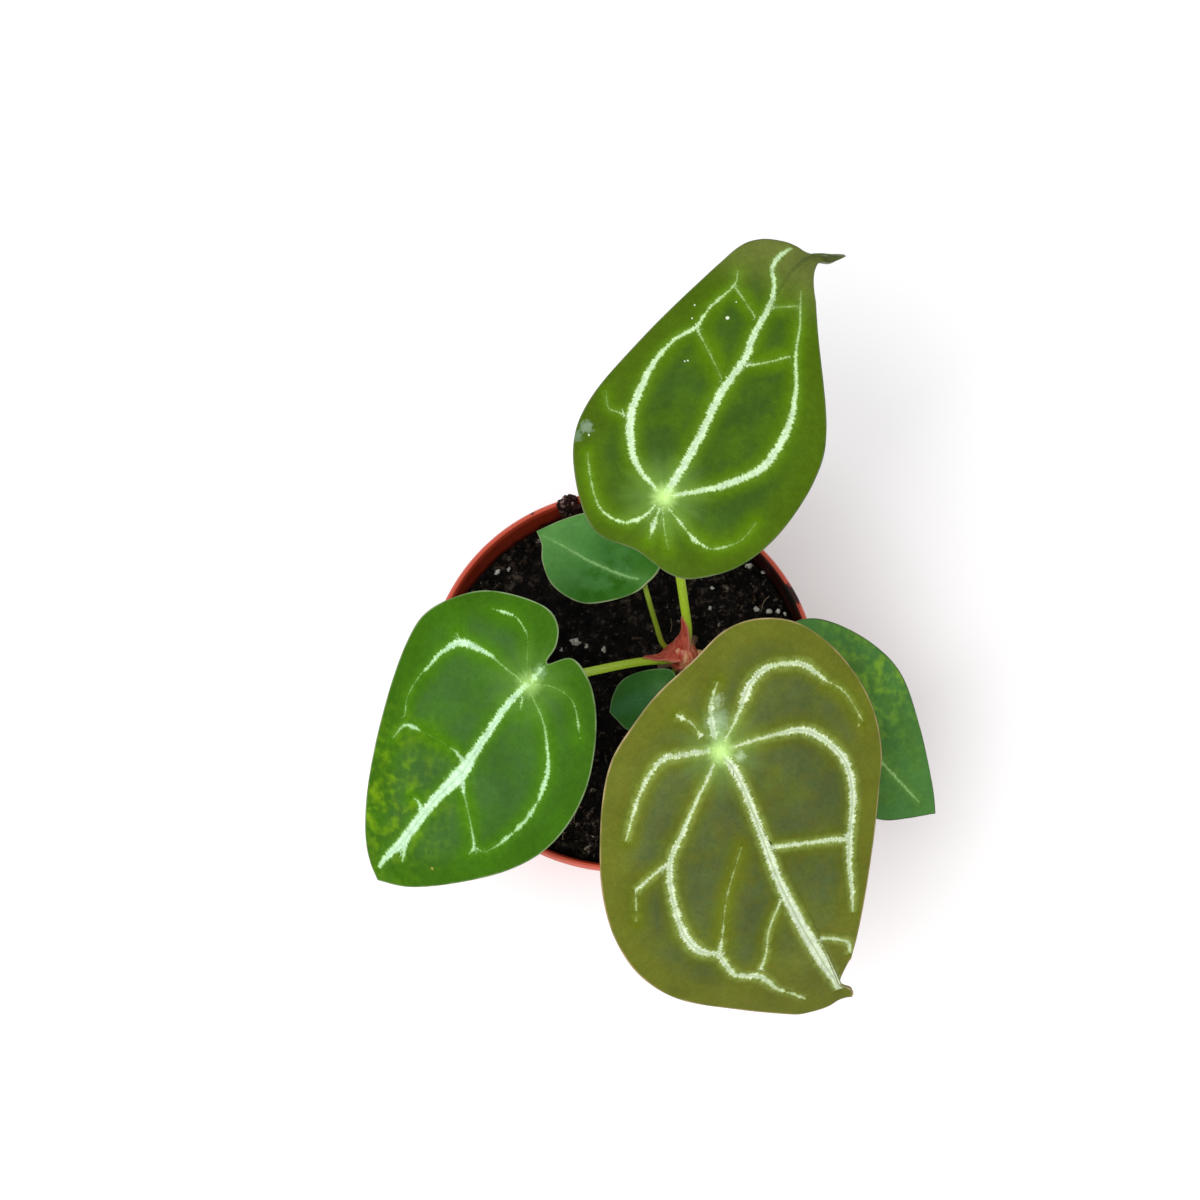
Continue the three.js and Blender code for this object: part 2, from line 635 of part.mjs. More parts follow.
function soilBody() {
  // The rings of the surface start at the rim's height and are then lowered to the soil's own height
  const edge = innerFace(GAP + 0.05).slice(0, 4);
  const surfaceRadius = edge[3][0];
  const profile = [[0, FOOT_RISE + WALL + GAP], ...edge];
  for (let ring = SOIL_RINGS; ring >= 0; ring -= 1) {
    profile.push([surfaceRadius * ring / SOIL_RINGS, POT_HEIGHT]);
  }
  const bed = turned(profile, SOIL_SPOKES);
  const place = bed.attributes.position;
  for (let i = 0; i < place.count; i += 1) {
    if (place.getZ(i) === POT_HEIGHT) {
      const height = soilHeight(place.getX(i), place.getY(i));
      const outer = Math.hypot(place.getX(i), place.getY(i)) > surfaceRadius - 1;
      place.setZ(i, outer ? Math.max(height, edge[3][1] + 0.6) : height);
    }
  }
  let body = solid(bed);
  const random = seededRandom(GRAIN_SEED);
  const grains = [];
  const scatter = (count, smallest, largest, lift, backEdge) => {
    for (let i = 0; i < count; i += 1) {
      const angle = 2 * Math.PI * random();
      const distance = GRAIN_REACH * Math.sqrt(random());
      const size = smallest + (largest - smallest) * random();
      const lump = grain(random, distance * Math.cos(angle), distance * Math.sin(angle), size, lift);
      if (distance * Math.sin(angle) < backEdge) {
        grains.push(lump);
      }
    }
  };
  scatter(BARK_CRUMBS, 1.8, 3.2, BARK_LIFT, GRAIN_REACH);
  scatter(PERLITE_GRAINS, 0.9, 1.6, PERLITE_LIFT, SCATTER_BACK_EDGE);
  for (const [x, y, size] of OPEN_PERLITE) {
    grains.push(grain(random, x, y, size, PERLITE_LIFT));
  }
  body = wasm.Manifold.union([body, ...grains]);
  return body.add(rimClump()).subtract(potClearance());
}

// A clump of soil that was pushed up over the rim while potting
function rimClump() {
  const lumps = [
    [-14.2, 46.2, 84, 5],
    [-14.6, 48.2, 88.5, 4],
    [-16.6, 49, 91.9, 2.1],
    [-13.2, 49.8, 92.1, 2.2],
  ];
  const bodies = lumps.map(([x, y, z, size]) => {
    const lump = new THREE.IcosahedronGeometry(size, 1);
    lump.rotateX(x);
    lump.translate(x, y, z);
    return solid(lump);
  });
  return wasm.Manifold.union(bodies);
}

// The pot's wall, rim and all outside it, grown by the gap
function potClearance() {
  const far = RIM_RADIUS + 12;
  const top = POT_HEIGHT + GAP;
  const profile = [
    ...innerFace(GAP),
    [RIM_RADIUS - RIM_WIDTH - GAP, top],
    [far, top],
    [far, -2],
    [innerFace(GAP)[0][0], -2],
    innerFace(GAP)[0],
  ];
  return solid(turned(profile, POT_SEGMENTS));
}

function material(colour, roughness) {
  return new THREE.MeshStandardMaterial({ color: colour, roughness, metalness: 0 });
}

const plant = new THREE.Group();

function addPiece(name, geometry, colour, roughness) {
  const mesh = new THREE.Mesh(geometry, material(colour, roughness));
  mesh.name = name;
  plant.add(mesh);
}

addPiece('pot', geometryOf(potShell()), 0xb0604e, 0.55);

const blades = Object.fromEntries(Object.entries(LEAVES).map(([name, leaf]) => [name, new Blade(leaf)]));
const room = wasm.Manifold.union(
  Object.entries(LEAVES).map(([name, leaf]) => solid(stalk(leaf, blades[name], GAP))));
addPiece('crown', geometryOf(crownWithRoots(0).subtract(room)), 0x8a5a3c, 0.7);

let taken = room.add(crownWithRoots(GAP));
for (const [name, sheath] of Object.entries(SHEATHS)) {
  addPiece(name, geometryOf(sheathBody(sheath).subtract(taken)), 0xa84a3c, 0.6);
  taken = taken.add(sheathBody(sheath, GAP));
}
addPiece('soil', geometryOf(soilBody().subtract(taken)), 0x1c1614, 0.95);

for (const [name, leaf] of Object.entries(LEAVES)) {
  addPiece(`petiole_${name}`, stalk(leaf, blades[name]), 0x93ad35, 0.5);
  addPiece(`blade_${name}`, blades[name].geometry(), leaf.colour, 0.6);
}

export default plant;
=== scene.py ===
# %% [markdown]
# # A young velvet-leaved anthurium in its nursery pot
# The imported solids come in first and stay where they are. Every piece made below stands at its own
# place in the same frame, in metres, so nothing has to be fitted afterwards. The plant is measured
# in millimetres, and one value turns them into metres.

# %% Load the frame
import math

import bmesh
import bpy
import numpy as np
from mathutils import Euler, Matrix, Vector, noise


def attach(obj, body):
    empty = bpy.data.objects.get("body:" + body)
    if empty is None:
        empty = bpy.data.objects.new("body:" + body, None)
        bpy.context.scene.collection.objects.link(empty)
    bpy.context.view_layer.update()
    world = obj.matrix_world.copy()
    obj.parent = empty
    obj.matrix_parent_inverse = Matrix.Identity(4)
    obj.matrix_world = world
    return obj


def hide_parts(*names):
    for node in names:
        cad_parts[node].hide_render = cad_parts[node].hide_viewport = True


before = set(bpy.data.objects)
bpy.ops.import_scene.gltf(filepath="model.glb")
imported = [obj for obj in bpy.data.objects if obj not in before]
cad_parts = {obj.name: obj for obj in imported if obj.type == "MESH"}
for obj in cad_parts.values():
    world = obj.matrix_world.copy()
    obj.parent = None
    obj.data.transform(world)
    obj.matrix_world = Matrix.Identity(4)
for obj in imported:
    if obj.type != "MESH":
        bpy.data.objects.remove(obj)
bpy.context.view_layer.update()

MM = 0.001
print("solids:", len(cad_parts))

# %% [markdown]
# ## Helpers for points and meshes
# Most pieces of a plant are sheets or tubes that were bent. Both start as a flat grid here: each of
# its vertices is moved to its place in space, and edges that then lie on each other are merged.

# %% Small helpers
MERGE = 2e-7


def smooth_row(points, steps):
    """Points on a smooth curve through a row of points of any number of dimensions."""
    rows = np.asarray(points, float)
    rows = np.vstack([2 * rows[0] - rows[1], rows, 2 * rows[-1] - rows[-2]])
    out = []
    for before, start, end, after in zip(rows, rows[1:], rows[2:], rows[3:]):
        for t in np.arange(steps) / steps:
            out.append(0.5 * (2 * start + (end - before) * t
                              + (2 * before - 5 * start + 4 * end - after) * t ** 2
                              + (3 * start - before - 3 * end + after) * t ** 3))
    out.append(rows[-2])
    return np.array(out)


def evenly(points, count):
    """The same curve with its points at equal distances."""
    walked = np.r_[0, np.cumsum(np.linalg.norm(np.diff(points, axis=0), axis=1))]
    at = np.linspace(0, walked[-1], count)
    return np.stack([np.interp(at, walked, column) for column in points.T], -1)


def bent_grid(columns, rows, place):
    """A grid whose vertices are moved to place(across, down), each from 0 to 1, in metres."""
    bm = bmesh.new()
    bmesh.ops.create_grid(bm, x_segments=columns, y_segments=rows, size=0.5)
    flat = np.array([vertex.co for vertex in bm.verts]) + 0.5
    for vertex, point in zip(bm.verts, place(flat[:, 0], flat[:, 1])):
        vertex.co = point
    return bm


def carry(bm, fields):
    """Gives each vertex the values that a shader reads, one attribute for each name."""
    for label, values in fields.items():
        layer = bm.verts.layers.float_vector.new(label)
        for vertex, value in zip(bm.verts, values):
            vertex[layer] = value


def new_mesh(bm, name):
    """A mesh made from a bmesh, which is freed."""
    mesh = bpy.data.meshes.new(name)
    bm.to_mesh(mesh)
    bm.free()
    return mesh

def new_piece(bm, name, smooth=True):
    """An object at the origin, in the scene."""
    mesh = new_mesh(bm, name)
    mesh.polygons.foreach_set("use_smooth", [smooth] * len(mesh.polygons))
    piece = bpy.data.objects.new(name, mesh)
    bpy.context.scene.collection.objects.link(piece)
    return piece

def finish_mesh(bm, name, recalculate=True):
    """Merges what meets, turns the faces outwards and gives a smooth-shaded object at the origin."""
    bmesh.ops.remove_doubles(bm, verts=bm.verts, dist=MERGE)
    if recalculate:
        bmesh.ops.recalc_face_normals(bm, faces=bm.faces)
    return new_piece(bm, name)

def absorb(bm, other):
    """Adds another bmesh to this one."""
    part = new_mesh(other, "part")
    bm.from_mesh(part)
    bpy.data.meshes.remove(part)


def wear(piece, *materials):
    for material in materials:
        piece.data.materials.append(material)


def settle(piece, slot, *nodes):
    """Rides on the part and stands for the solids that it replaces. slot is not used."""
    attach(piece, "root")
    if nodes:
        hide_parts(*nodes)
    print(piece.name, len(piece.data.polygons), "faces")


def seeded(seed):
    """The same repeatable draw from 0 to 1 that placed the grains of the solid soil."""
    state = [seed]
    mask = 0xFFFFFFFF

    def draw():
        state[0] = (state[0] + 0x6D2B79F5) & mask
        t = (state[0] ^ (state[0] >> 15)) * (1 | state[0]) & mask
        t ^= (t + ((t ^ (t >> 7)) * (61 | t) & mask)) & mask
        return (t ^ (t >> 14)) / 4294967296
    return draw


# %% [markdown]
# ## Helpers for materials
# A material is a graph of nodes. This small class adds a node, sets its sockets by name and links
# whatever other node output it is given, so that each finish below reads as a few lines.

# %% A graph of shader nodes
def srgb(red, green, blue):
    """A colour from 0 to 255 as it looks on screen, in the linear values that a shader takes."""
    parts = [value / 255 for value in (red, green, blue)]
    return (*[p / 12.92 if p <= 0.04045 else ((p + 0.055) / 1.055) ** 2.4 for p in parts], 1.0)


class Graph:
    def __init__(self, tree):
        self.tree = tree

    def add(self, kind, inputs=(), **settings):
        node = self.tree.nodes.new("ShaderNode" + kind)
        for name, value in settings.items():
            setattr(node, name, value)
        for name, value in dict(inputs).items():
            self.feed(node.inputs[name], value)
        return node

    def feed(self, socket, value):
        if isinstance(value, bpy.types.NodeSocket):
            self.tree.links.new(value, socket)
        else:
            socket.default_value = value

    def math(self, operation, *values):
        return self.add("Math", enumerate(values), operation=operation).outputs[0]

    def ramp(self, value, low, high, start=0.0, end=1.0, smooth=True):
        """value from low to high becomes start to end, and stays there outside."""
        kind = "SMOOTHSTEP" if smooth else "LINEAR"
        inputs = {0: value, 1: low, 2: high, 3: start, 4: end}
        return self.add("MapRange", inputs, interpolation_type=kind).outputs[0]

    def mix(self, share, first, second):
        inputs = {0: share, 6: first, 7: second}
        return self.add("Mix", inputs, data_type="RGBA").outputs[2]

    def noise(self, where, size_mm, detail=2.0, roughness=0.5, distortion=0.0):
        """Soft random values round 0.5, with lumps of about size_mm."""
        inputs = {"Vector": where, "Scale": 1 / (size_mm * MM), "Detail": detail,
                  "Roughness": roughness, "Distortion": distortion}
        return self.add("TexNoise", inputs).outputs["Fac"]

    def here(self):
        return self.add("TexCoord").outputs["Object"]

    def bump(self, height, strength=1.0):
        """height is in millimetres."""
        return self.add("Bump", {"Height": height, "Strength": strength, "Distance": MM}).outputs[0]


def new_group(name, inputs, outputs):
    """An empty node group with named sockets, as (kind, name) pairs. Gives its graph and its two ends."""
    tree = bpy.data.node_groups.new(name, "ShaderNodeTree")
    for direction, sockets in (("INPUT", inputs), ("OUTPUT", outputs)):
        for kind, label in sockets:
            tree.interface.new_socket(label, in_out=direction, socket_type="NodeSocket" + kind)
    graph = Graph(tree)
    source = tree.nodes.new("NodeGroupInput")
    target = tree.nodes.new("NodeGroupOutput")
    return graph, source.outputs, target.inputs


def new_material(name, colour):
    """A material with its graph and its Principled shader. colour is what a plain viewport shows."""
    material = bpy.data.materials.new(name)
    material.use_nodes = True
    material.diffuse_color = colour
    graph = Graph(material.node_tree)
    return material, graph, material.node_tree.nodes["Principled BSDF"].inputs


# %% [markdown]
# Nothing here is one even colour. This group makes any colour a little lighter and darker in soft
# patches, and most of the finishes below use it.

# %% Uneven tone group
def uneven_group():
    graph, given, out = new_group(
        "uneven_tone", [("Color", "Color"), ("Vector", "Place"), ("Float", "Scale"), ("Float", "Darkest"),
                        ("Float", "Lightest")], [("Color", "Color")])
    inputs = {"Vector": given["Place"], "Scale": given["Scale"], "Detail": 3.0}
    patches = graph.add("TexNoise", inputs).outputs[0]
    tone = graph.ramp(patches, 0.3, 0.7, given["Darkest"], given["Lightest"], False)
    graph.feed(out["Color"], graph.add("HueSaturation", {"Value": tone, "Color": given["Color"]}).outputs[0])
    return graph.tree


UNEVEN = uneven_group()


def uneven(graph, colour, where, size_mm, darkest, lightest):
    group = graph.add("Group", node_tree=UNEVEN)
    values = {"Color": colour, "Place": where, "Scale": 1 / (size_mm * MM), "Darkest": darkest,
              "Lightest": lightest}
    for label, value in values.items():
        graph.feed(group.inputs[label], value)
    return group.outputs["Color"]

print("uneven tone:", len(UNEVEN.nodes), "nodes")


# %% [markdown]
# ## The camera
# The picture was taken from steeply above, 16 degrees off straight down, from a little under half a
# metre over the rim. A lens of 53 mm on a 36 mm sensor gives the same frame.

# %% Camera
CAMERA_PLACE = (-0.0061, -0.1128, 0.5590)
CAMERA_TILT = 16
LENS, SENSOR = 53.3, 36
camera_data = bpy.data.cameras.new("camera")
camera_data.lens = LENS
camera_data.sensor_width = SENSOR
camera_data.dof.use_dof = False
camera = bpy.data.objects.new("camera", camera_data)
camera.location = CAMERA_PLACE
camera.rotation_euler = (math.radians(CAMERA_TILT), 0, 0)
bpy.context.scene.collection.objects.link(camera)
bpy.context.scene.camera = camera
print("camera at", CAMERA_PLACE, "tilted by", CAMERA_TILT, "degrees")

# %% [markdown]
# ## The six leaves
# A leaf hangs on its joint, where the stalk meets the blade from below. The flat outline is given in
# millimetres ahead of the joint and to the left of the midrib, and the midrib is a walk through space
# whose pitch and heading change along it. These are the values of the solid blades, so the dressed
# blades take the same form. Veins are drawn in the same flat millimetres, with their silver width. A
# hook says from where to where ahead the tip slides sideways, and how far. The points of the outlines
# and veins were picked in the picture, and a separate program worked them back through the
# camera into these millimetres. Some were corrected afterwards.

# %% Leaf shapes
LEAVES = {
    "back": dict(
        joint=(9, 25.5, 165), heading=63, pitch=-5, roll=3, cup=-0.002, wave=0.5, waves=7,
        bends=[(0, 60, 10, 0), (0, -20, -4, 0), (62, 78, 35, -20), (76, 92, -15, -55), (84, 91, 0, 30)],
        outline=[
            (90, -2.2), (85, -2), (80, -1.6), (77, -0.2), (75, 2), (72.5, 5.5), (69.5, 10), (65, 13),
            (52, 17), (32, 22.6), (14, 26.5), (2, 25), (-9.5, 17.5), (-15, 10), (-14.5, 0), (-16, -9),
            (-14.5, -15), (-7, -23), (4.5, -28), (20.5, -29.8), (33, -26.8), (54, -14.7), (67, -8),
            (74, -5), (78, -4.3), (83, -3.9), (87, -3)],
        stalk=[(17.2, 8.6, 86.5), (17.4, 10.6, 98), (15.6, 14.6, 116), (12.4, 20.4, 141)],
        stalk_radius=1.2),
    "left": dict(
        joint=(-23, -16, 150), heading=-131, pitch=20, roll=4, cup=-0.002, wave=0.5, waves=6,
        bends=[(0, 70, 26, 0), (0, -20, -4, 0)],
        outline=[
            (68, -1.7), (62, 6), (53, 14), (41, 22.5), (30, 27.3), (20, 28.4), (11, 26.8), (3, 23),
            (-5, 17.2), (-10, 11), (-11.3, 4.5), (-6.3, 0.4), (-11, -0.4), (-15, -3), (-16.5, -8),
            (-14, -16), (-9.5, -23.5), (-3, -28.5), (3.5, -31.3), (10, -31.6), (20, -29.2),
            (34, -23.8), (50, -16.5), (61, -10.3), (66, -6)],
        stalk=[(14.4, 6.2, 85.5), (11.2, 4.2, 92), (4.9, 0.9, 103.5), (-8.4, -7.6, 127.5)],
        stalk_radius=1.1),
    "front": dict(
        joint=(21, -36, 168), heading=-56, pitch=26, roll=0, cup=-0.002, wave=0.6, waves=6,
        bends=[(0, 78, 28, 0), (0, -25, -4, 0)], hook=(73.5, 77.5, 1.9),
        outline=[
            (80.8, -1.7), (79, -1.3), (76.7, -1.15), (74.2, -1.0), (72.3, 0.1), (68.8, 3.1), (66, 5),
            (50, 15.5), (33, 27), (23, 33.5), (11, 36.5), (-2.5, 35.5), (-14, 31), (-20.5, 23.5),
            (-22.7, 15), (-21, 5), (-19.5, -5), (-17, -12.5), (-12.5, -21.5), (-5, -28.5), (6, -35.5),
            (15, -39.7), (25, -42), (37, -41.5), (49.5, -36.5), (62, -25.8), (72, -16), (76, -11.3),
            (78.1, -7.8), (79.2, -5.3), (80.4, -3)],
        stalk=[(18, 3.9, 86), (20.6, -0.6, 97), (23.4, -13, 124), (22.8, -27, 150)],
        stalk_radius=1.25),
    "right": dict(
        joint=(44, -6.5, 125), heading=-42, pitch=18, roll=0, cup=-0.001, wave=0.4, waves=5,
        bends=[(0, 55, 20, 0)],
        outline=[
            (56, 1), (47.5, 6), (35, 13), (21.5, 18.4), (9.5, 18.4), (-2, 14.8), (-8.5, 9), (-10, 0),
            (-7, -10), (2, -16), (15, -19), (30, -17.5), (43, -12), (50, -6)],
        stalk=[(20.6, 7.6, 85.5), (25.4, 5.2, 93), (33.5, 1, 106)],
        stalk_radius=0.95),
    "small_back": dict(
        joint=(5.2, 21.5, 112), heading=151, pitch=6, roll=0, cup=-0.004, wave=0.2, waves=4,
        bends=[(0, 34, 14, 0)],
        outline=[
            (33, 0.5), (29.5, 3.4), (27, 7.5), (22, 11.8), (16, 13.5), (10, 13), (4, 9), (0, 4.5),
            (-1.5, 0.5), (-2.5, -4), (-1, -8.5), (5, -12.5), (14, -13), (22, -10.5), (28, -5.5)],
        stalk=[(14, 9, 83.5), (11.2, 9.8, 87.5), (9, 13.8, 94.5), (6.9, 18, 103)],
        stalk_radius=0.72),
    "small_low": dict(
        joint=(10, -5, 98), heading=-160, pitch=4, roll=0, cup=-0.004, wave=0.15, waves=4,
        bends=[(0, 14, 10, 0)],
        outline=[
            (15, 1), (14, 3.5), (12, 7.5), (7, 10.5), (1, 10), (-4, 5), (-5, 0), (-4, -4), (2, -6),
            (8.5, -5.8), (12.7, -2.7)],
        stalk=[(14.6, 3.8, 83), (13.4, 1, 87.5), (11.2, -3, 92.5)],
        stalk_radius=0.65),
}
print("leaves:", ", ".join(LEAVES))

# %% [markdown]
# Each vein is a row of points: millimetres ahead, millimetres to the left and the width of its silver.
# The number before the row says how unbroken the silver is, from 0 for dots to 1 for a full band.

# %% Veins
VEINS = {
    "back": [
        (1.0, [(-0.5, 0, 2.4), (15, -1, 2.5), (28.5, -0.6, 2.4), (40, -1.8, 2.3), (46, -1, 2.1),
               (56, -1, 1.8), (61, 0.5, 1.4), (65, 3, 1.5), (69, 3.2, 1.6), (73, 2.6, 0.8)]),
        (1.0, [(0.5, 2, 1.0), (4.5, 10, 2.0), (13, 15.5, 2.6), (20, 16.8, 2.3), (28.5, 17, 1.8),
               (35.5, 15.5, 1.1), (41.5, 12.2, 1.5), (43, 12, 1.1)]),
        (0.6, [(43, 12, 1.1), (48, 11.5, 1.1), (56, 9, 0.9), (60.5, 10, 0.3)]),
        (0.6, [(41.5, 12.2, 0.9), (37, 6.5, 0.5), (32, 0.5, 0.4)]),
        (0.6, [(56, 9, 0.8), (53, 4.5, 0.6), (50.5, 0.5, 0.7)]),
        (0.6, [(13, 15.5, 1.2), (13.6, 18.5, 0.8), (13.5, 21.5, 0.4), (17, 24, 0.2)]),
        (1.0, [(1, -1.5, 1.0), (2.5, -3.4, 1.4), (8, -10.5, 1.9), (14.5, -16, 2.4), (20, -18.2, 2.5),
               (29.5, -18.5, 2.1), (38.5, -16, 1.3), (46.5, -12.2, 1.0), (53.5, -10, 0.7),
               (59, -7.6, 0.6), (63, -6, 0.3)]),
        (0.7, [(38, -2.5, 1.2), (41, -6.5, 0.7), (45.5, -11.2, 0.8)]),
        (0.6, [(54.5, -1.5, 1.0), (56.5, -4, 0.5), (59, -7.5, 0.6)]),
        (0.45, [(-2.5, 1, 1.0), (-6.5, 2.2, 1.4), (-10, 6, 1.5), (-9.4, 12, 0.9), (-4.5, 17, 0.7),
                (1.5, 21, 0.3)]),
        (0.4, [(-2, -2, 0.6), (-5.5, -9.5, 1.6), (-6.4, -13, 1.2), (-6, -16, 0.8), (-1.5, -20.5, 0.5),
               (4.5, -22, 0.2)]),
        (0.35, [(-3, -0.3, 1.5), (-7, -0.8, 1.8), (-11, -1.5, 0.5)]),
        (0.4, [(-2.5, -0.8, 0.8), (-7, -3.5, 0.6), (-11, -6.5, 0.3)]),
    ],
    "left": [
        (1.0, [(0.5, -0.5, 1.8), (8, -0.8, 2.3), (16.5, -0.3, 2.6), (22, 0, 3.2), (28, 0.3, 4.4),
               (37.5, -1, 3.4), (45, -1.5, 3.3), (53.5, -1.8, 3.4), (60, -3, 2.4), (65, -3.4, 1.2)]),
        (1.0, [(0.8, -2, 0.5), (1, -9, 0.5), (1, -11.5, 1.2), (2, -15.5, 1.9), (3.5, -19.5, 2.4),
               (8.5, -22, 1.5), (13, -22.6, 1.2)]),
        (0.4, [(13, -22.4, 1.3), (17.5, -22.9, 0.6), (23, -22.3, 0.4), (27.5, -19.8, 0.8)]),
        (0.8, [(3.5, -19.5, 1.0), (2.5, -22, 0.3)]),
        (0.8, [(34, -19, 0.4), (29.5, -18.6, 0.9), (28, -16.8, 1.7), (27.2, -14.2, 0.5)]),
        (0.1, [(27, -13.5, 0.4), (25.5, -9, 0.2), (25.2, -6.5, 0.3)]),
        (0.7, [(25, -5.8, 0.3), (24.8, -3.6, 0.9), (25.5, -1.2, 1.8)]),
        (0.8, [(1.5, 1.5, 0.4), (4.5, 8.5, 0.6), (9.5, 14, 1.1), (13.5, 17, 1.7), (19.5, 19.2, 1.4)]),
        (0.5, [(19.5, 19.2, 1.4), (25, 19.7, 1.3), (30, 19.2, 1.7), (35.5, 18, 0.8), (39.5, 16.5, 0.2)]),
        (0.7, [(29.5, 1, 1.4), (33, 6, 0.45), (37, 10.5, 0.7), (40.5, 13.5, 1.2), (43, 13.6, 0.3)]),
        (0.7, [(40.5, 13.5, 1.0), (39.8, 16, 0.4)]),
        (0.25, [(-0.5, -1.5, 0.2), (-7.5, -6.5, 0.3), (-9.5, -10, 0.6), (-9.8, -13.5, 1.1),
                (-7.5, -19, 0.8)]),
        (0.3, [(-0.5, 1, 0.5), (-3, 4.8, 0.4), (-4, 9.5, 0.4), (-2.5, 13, 0.6), (2, 18, 0.6)]),
        (0.9, [(51, -2, 2.4), (54.5, -0.4, 1.8), (58, 1.2, 0.5)]),
        (0.5, [(3.4, 0.8, 0.9), (6.2, 2.4, 0.6)]),
        (0.9, [(43, -2, 2.2), (41.8, -4.2, 1.1), (42, -5.8, 0.3)]),
        (0.9, [(28.5, 0.6, 2.6), (31.5, 4, 1.0)]),
        (0.25, [(-0.5, 0, 2.2), (-5.5, 0.2, 1.8)]),
    ],
    "front": [
        (1.0, [(0, 0, 1.2), (5, 0.5, 2.4), (10, 0.2, 2.1), (16, -0.6, 2.2), (25, -1.9, 2.5),
               (35, -3.2, 2.7), (48.5, -3.4, 3.2), (57, -3, 3.7), (65, -2.5, 3.2), (73, -1.8, 2.2),
               (76, -3, 1.2)]),
        (0.9, [(1.5, -2.5, 0.9), (6.5, -10.6, 1.0), (12, -18, 1.5), (15.5, -22.5, 1.9),
               (23, -26, 1.9), (33, -28, 2.3), (39, -27.3, 2.4), (42, -25.5, 1.9), (44, -23.6, 1.7),
               (51.5, -22.5, 1.5), (56, -17.8, 1.9), (59, -16.5, 1.6), (62.5, -15.5, 1.0)]),
        (0.3, [(62.5, -15.5, 1.0), (66.5, -12.8, 1.1), (70.5, -10.5, 0.5)]),
        (0.9, [(15.5, -22.5, 1.2), (16, -27.5, 0.9), (17, -32.5, 1.0)]),
        (0.2, [(17, -32.5, 0.4), (24, -36, 0.3)]),
        (0.9, [(43.5, -23.2, 1.6), (40, -21, 0.5)]),
        (0.2, [(40, -21, 0.4), (31, -15.5, 0.3), (22, -7, 0.2)]),
        (0.8, [(54.5, -17, 1.2), (51, -14, 0.6), (45, -10.5, 0.5), (39.5, -4.5, 0.8)]),
        (0.9, [(0.5, 2, 0.7), (3, 10.5, 1.0), (7, 19, 2.0), (14, 23, 2.1), (21, 24, 2.3),
               (28.5, 21.6, 2.2), (36.5, 16.6, 2.2), (42.5, 13.6, 1.7), (50, 11, 1.3), (55, 9, 0.5)]),
        (1.0, [(26.5, -1, 1.3), (31, 7, 1.1), (34, 12, 1.4), (37, 16.2, 1.3)]),
        (0.8, [(56.5, -1, 1.1), (62, 4.6, 1.1), (66, 4.2, 0.8)]),
        (0.8, [(-1.5, 2, 0.8), (-4, 6, 0.7), (-6.5, 9.6, 2.0), (-9.5, 14, 2.4), (-10.2, 19, 1.7),
               (-8, 24, 1.4), (-5.5, 27, 1.9), (0.5, 29.5, 0.6)]),
        (0.3, [(0.5, 29.5, 0.5), (5.5, 32, 0.5), (14, 32.5, 0.3)]),
        (0.7, [(-1.5, -2, 1.6), (-4.5, -8, 1.6), (-6, -12.5, 1.7), (-3.5, -18.5, 1.2),
               (0.5, -23.5, 1.0), (5.5, -28.5, 0.4)]),
        (0.3, [(-3, 0.5, 2.0), (-7, 1.6, 2.8), (-11, 4, 1.3), (-14, 7.5, 0.6)]),
        (0.3, [(-5.5, -2, 1.2), (-9.5, -2.5, 0.7), (-13, -4.5, 1.1)]),
    ],
    "right": [
        (0.9, [(0, 0, 0.8), (25, -1, 0.8), (42, -0.8, 0.9), (50, -0.4, 0.5)]),
        (0.0, [(2, 3, 0.1), (12, 11, 0.1), (30, 10.5, 0.1), (42, 5, 0.1)]),
        (0.0, [(2, -3, 0.1), (12, -12.5, 0.1), (30, -12, 0.1), (42, -6, 0.1)]),
    ],
    "small_back": [
        (0.8, [(1, 0.8, 0.6), (6.5, 2, 0.8), (15, 2.2, 0.8), (23, 1.5, 0.6), (31, 1, 0.2)]),
        (0.0, [(5, 3, 0.1), (12, 8, 0.1), (22, 6.5, 0.1), (29, 2, 0.1)]),
        (0.0, [(5, 0, 0.1), (12, -7, 0.1), (22, -6, 0.1), (29, -1, 0.1)]),
    ],
    "small_low": [
        (0.3, [(0.5, 0.3, 0.3), (7, 1, 0.3), (13.5, 1, 0.1)]),
    ],
}
print("veins:", {name: len(rows) for name, rows in VEINS.items()})

# %% [markdown]
# The blade's surface in space. Ahead of and behind the joint the midrib is walked in half-millimetre
# steps, and across it the blade falls away a little on both sides, dimples at the joint and waves
# towards its margin.

# %% The blade's surface
STEP = 0.5
JOINT_DIMPLE = 1.0
DIMPLE_RADIUS = 5


def midrib_directions(leaf, ahead):
    """Along the midrib, to its left and out of the upper face, for each distance ahead of the joint."""
    pitch = np.full(len(ahead), float(leaf["pitch"]))
    heading = np.full(len(ahead), float(leaf["heading"]))
    for start, end, more_pitch, more_heading in leaf["bends"]:
        share = np.clip((ahead - start) / (end - start), 0, 1)
        pitch += more_pitch * share
        heading += more_heading * share
    p, h, roll = np.radians(pitch), np.radians(heading), math.radians(leaf["roll"])
    along = np.stack([np.cos(h) * np.cos(p), np.sin(h) * np.cos(p), -np.sin(p)], -1)
    left = np.stack([-np.sin(h), np.cos(h), 0 * h], -1)
    up = np.cross(along, left)
    return along, left * math.cos(roll) + up * math.sin(roll), up * math.cos(roll) - left * math.sin(roll)


